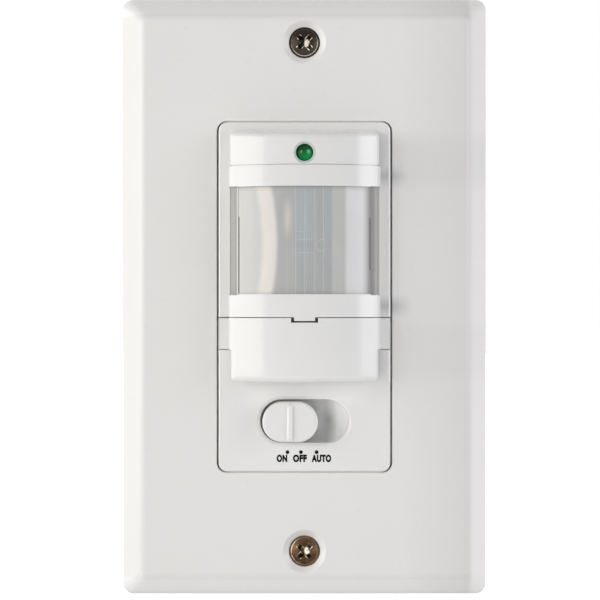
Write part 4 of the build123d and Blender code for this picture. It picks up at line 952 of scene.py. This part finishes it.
def curvedSolid(shell, half, low, high, front, thick, columns, rows, depthAt):
    # front grid, back grid and the four edges between them
    size = (half, low, high, columns, rows)
    face = curvedGrid(shell, *size, lambda side, height: front - depthAt(side, height))
    rear = curvedGrid(shell, *size, lambda side, height: front - thick)
    for row in range(rows):
        for column in range(columns):
            shell.faces.new([face[row][column], face[row][column + 1],
                             face[row + 1][column + 1], face[row + 1][column]])
            shell.faces.new([rear[row][column], rear[row + 1][column],
                             rear[row + 1][column + 1], rear[row][column + 1]])
    for column in range(columns):
        shell.faces.new([face[0][column], rear[0][column], rear[0][column + 1], face[0][column + 1]])
        shell.faces.new([face[rows][column], face[rows][column + 1],
                         rear[rows][column + 1], rear[rows][column]])
    for row in range(rows):
        shell.faces.new([face[row][0], face[row + 1][0], rear[row + 1][0], rear[row][0]])
        shell.faces.new([face[row][columns], rear[row][columns],
                         rear[row + 1][columns], face[row + 1][columns]])


def buildLens():
    # the ribbed sheet in its window, and the plain flange that clamps it from behind
    shell = bmesh.new()
    look = lensSheet
    curvedSolid(shell, look["half"], look["low"], look["high"], look["front"], look["thick"],
                look["columns"], look["rows"], lensDepth)
    curvedSolid(shell, look["flangeHalf"], look["flangeLow"], look["flangeHigh"],
                look["front"] - look["flangeBack"], look["flangeThick"],
                look["flangeColumns"], look["flangeRows"], lambda side, height: 0)
    lens = makePiece("lensSheet", shell, "lensMilk", look["sharp"])
    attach(lens, "device")
    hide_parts("sensor_lens")


buildLens()
print("lens built")


lampRing = {  # the profile's points are (radius, out)
    "up": 26.85, "segments": 72, "sharp": 35,
    "profile": ((1.9, 13.66), (1.86, 13.7), (1.64, 13.46), (1.6, 13.4), (1.6, 12.9), (1.9, 12.9)),
}


def buildRing():
    # the pale lip round the lamp
    shell = bmesh.new()
    loops = []
    for step in range(lampRing["segments"]):
        angle = 2 * math.pi * step / lampRing["segments"]
        loops.append([shell.verts.new((radius * math.cos(angle) * mm, -out * mm,
                                       (lampRing["up"] + radius * math.sin(angle)) * mm))
                      for radius, out in lampRing["profile"]])
    count = len(lampRing["profile"])
    for step, loop in enumerate(loops):
        after = loops[(step + 1) % len(loops)]
        for point in range(count):
            other = (point + 1) % count
            shell.faces.new([loop[point], loop[other], after[other], after[point]])
    bmesh.ops.recalc_face_normals(shell, faces=shell.faces)
    ring = makePiece("lampRing", shell, "lipWhite", lampRing["sharp"])
    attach(ring, "device")


buildRing()
print("lamp ring built")


legend = {
    "faceOut": 5.9, "ink": 0.02, "low": -31.4, "high": -29.96,
    "words": {"ON": (-5.28, -3.28), "OFF": (-2.19, 0.46), "AUTO": (1.35, 5.07)},
    "bold": 0.14, "spacing": 1.12, "extrude": 0.002,
    "dots": (-3.22, -0.67, 2.30), "dotHeight": -29.5, "dotRadius": 0.36, "dotSegments": 28,
}


def buildWord(word, left, right):
    # a printed word, fitted between its left and right ends
    data = bpy.data.curves.new("word" + word, "FONT")
    data.body = word
    data.size = 1
    data.offset = legend["bold"] / 2
    data.space_character = legend["spacing"]
    data.extrude = legend["extrude"]
    printed = bpy.data.objects.new("word" + word, data)
    bpy.context.collection.objects.link(printed)
    bpy.context.view_layer.update()
    corners = [Vector(corner) for corner in printed.bound_box]
    lowX, highX = min(corner.x for corner in corners), max(corner.x for corner in corners)
    lowY, highY = min(corner.y for corner in corners), max(corner.y for corner in corners)
    wide = (right - left) * mm / (highX - lowX)
    tall = (legend["high"] - legend["low"]) * mm / (highY - lowY)
    printed.scale = (wide, tall, legend["ink"] * mm / (2 * legend["extrude"]))
    printed.rotation_euler = (math.radians(90), 0, 0)
    printed.location = (left * mm - lowX * wide, -(legend["faceOut"] + legend["ink"] / 2) * mm,
                        legend["low"] * mm - lowY * tall)
    data.materials.append(finishes["printedInk"])
    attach(printed, "device")


def buildDots():
    # the index dots above the words
    shell = bmesh.new()
    for place in legend["dots"]:
        ring = bmesh.ops.create_circle(shell, cap_ends=True, radius=legend["dotRadius"] * mm,
                                       segments=legend["dotSegments"])
        for vert in ring["verts"]:
            flatX, flatY = vert.co.x, vert.co.y
            vert.co = Vector((place * mm + flatX, -(legend["faceOut"] + legend["ink"]) * mm,
                              legend["dotHeight"] * mm + flatY))
    dots = makePiece("indexDots", shell, "printedInk")
    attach(dots, "device")


for word, (left, right) in legend["words"].items():
    buildWord(word, left, right)
buildDots()
print("legend printed")
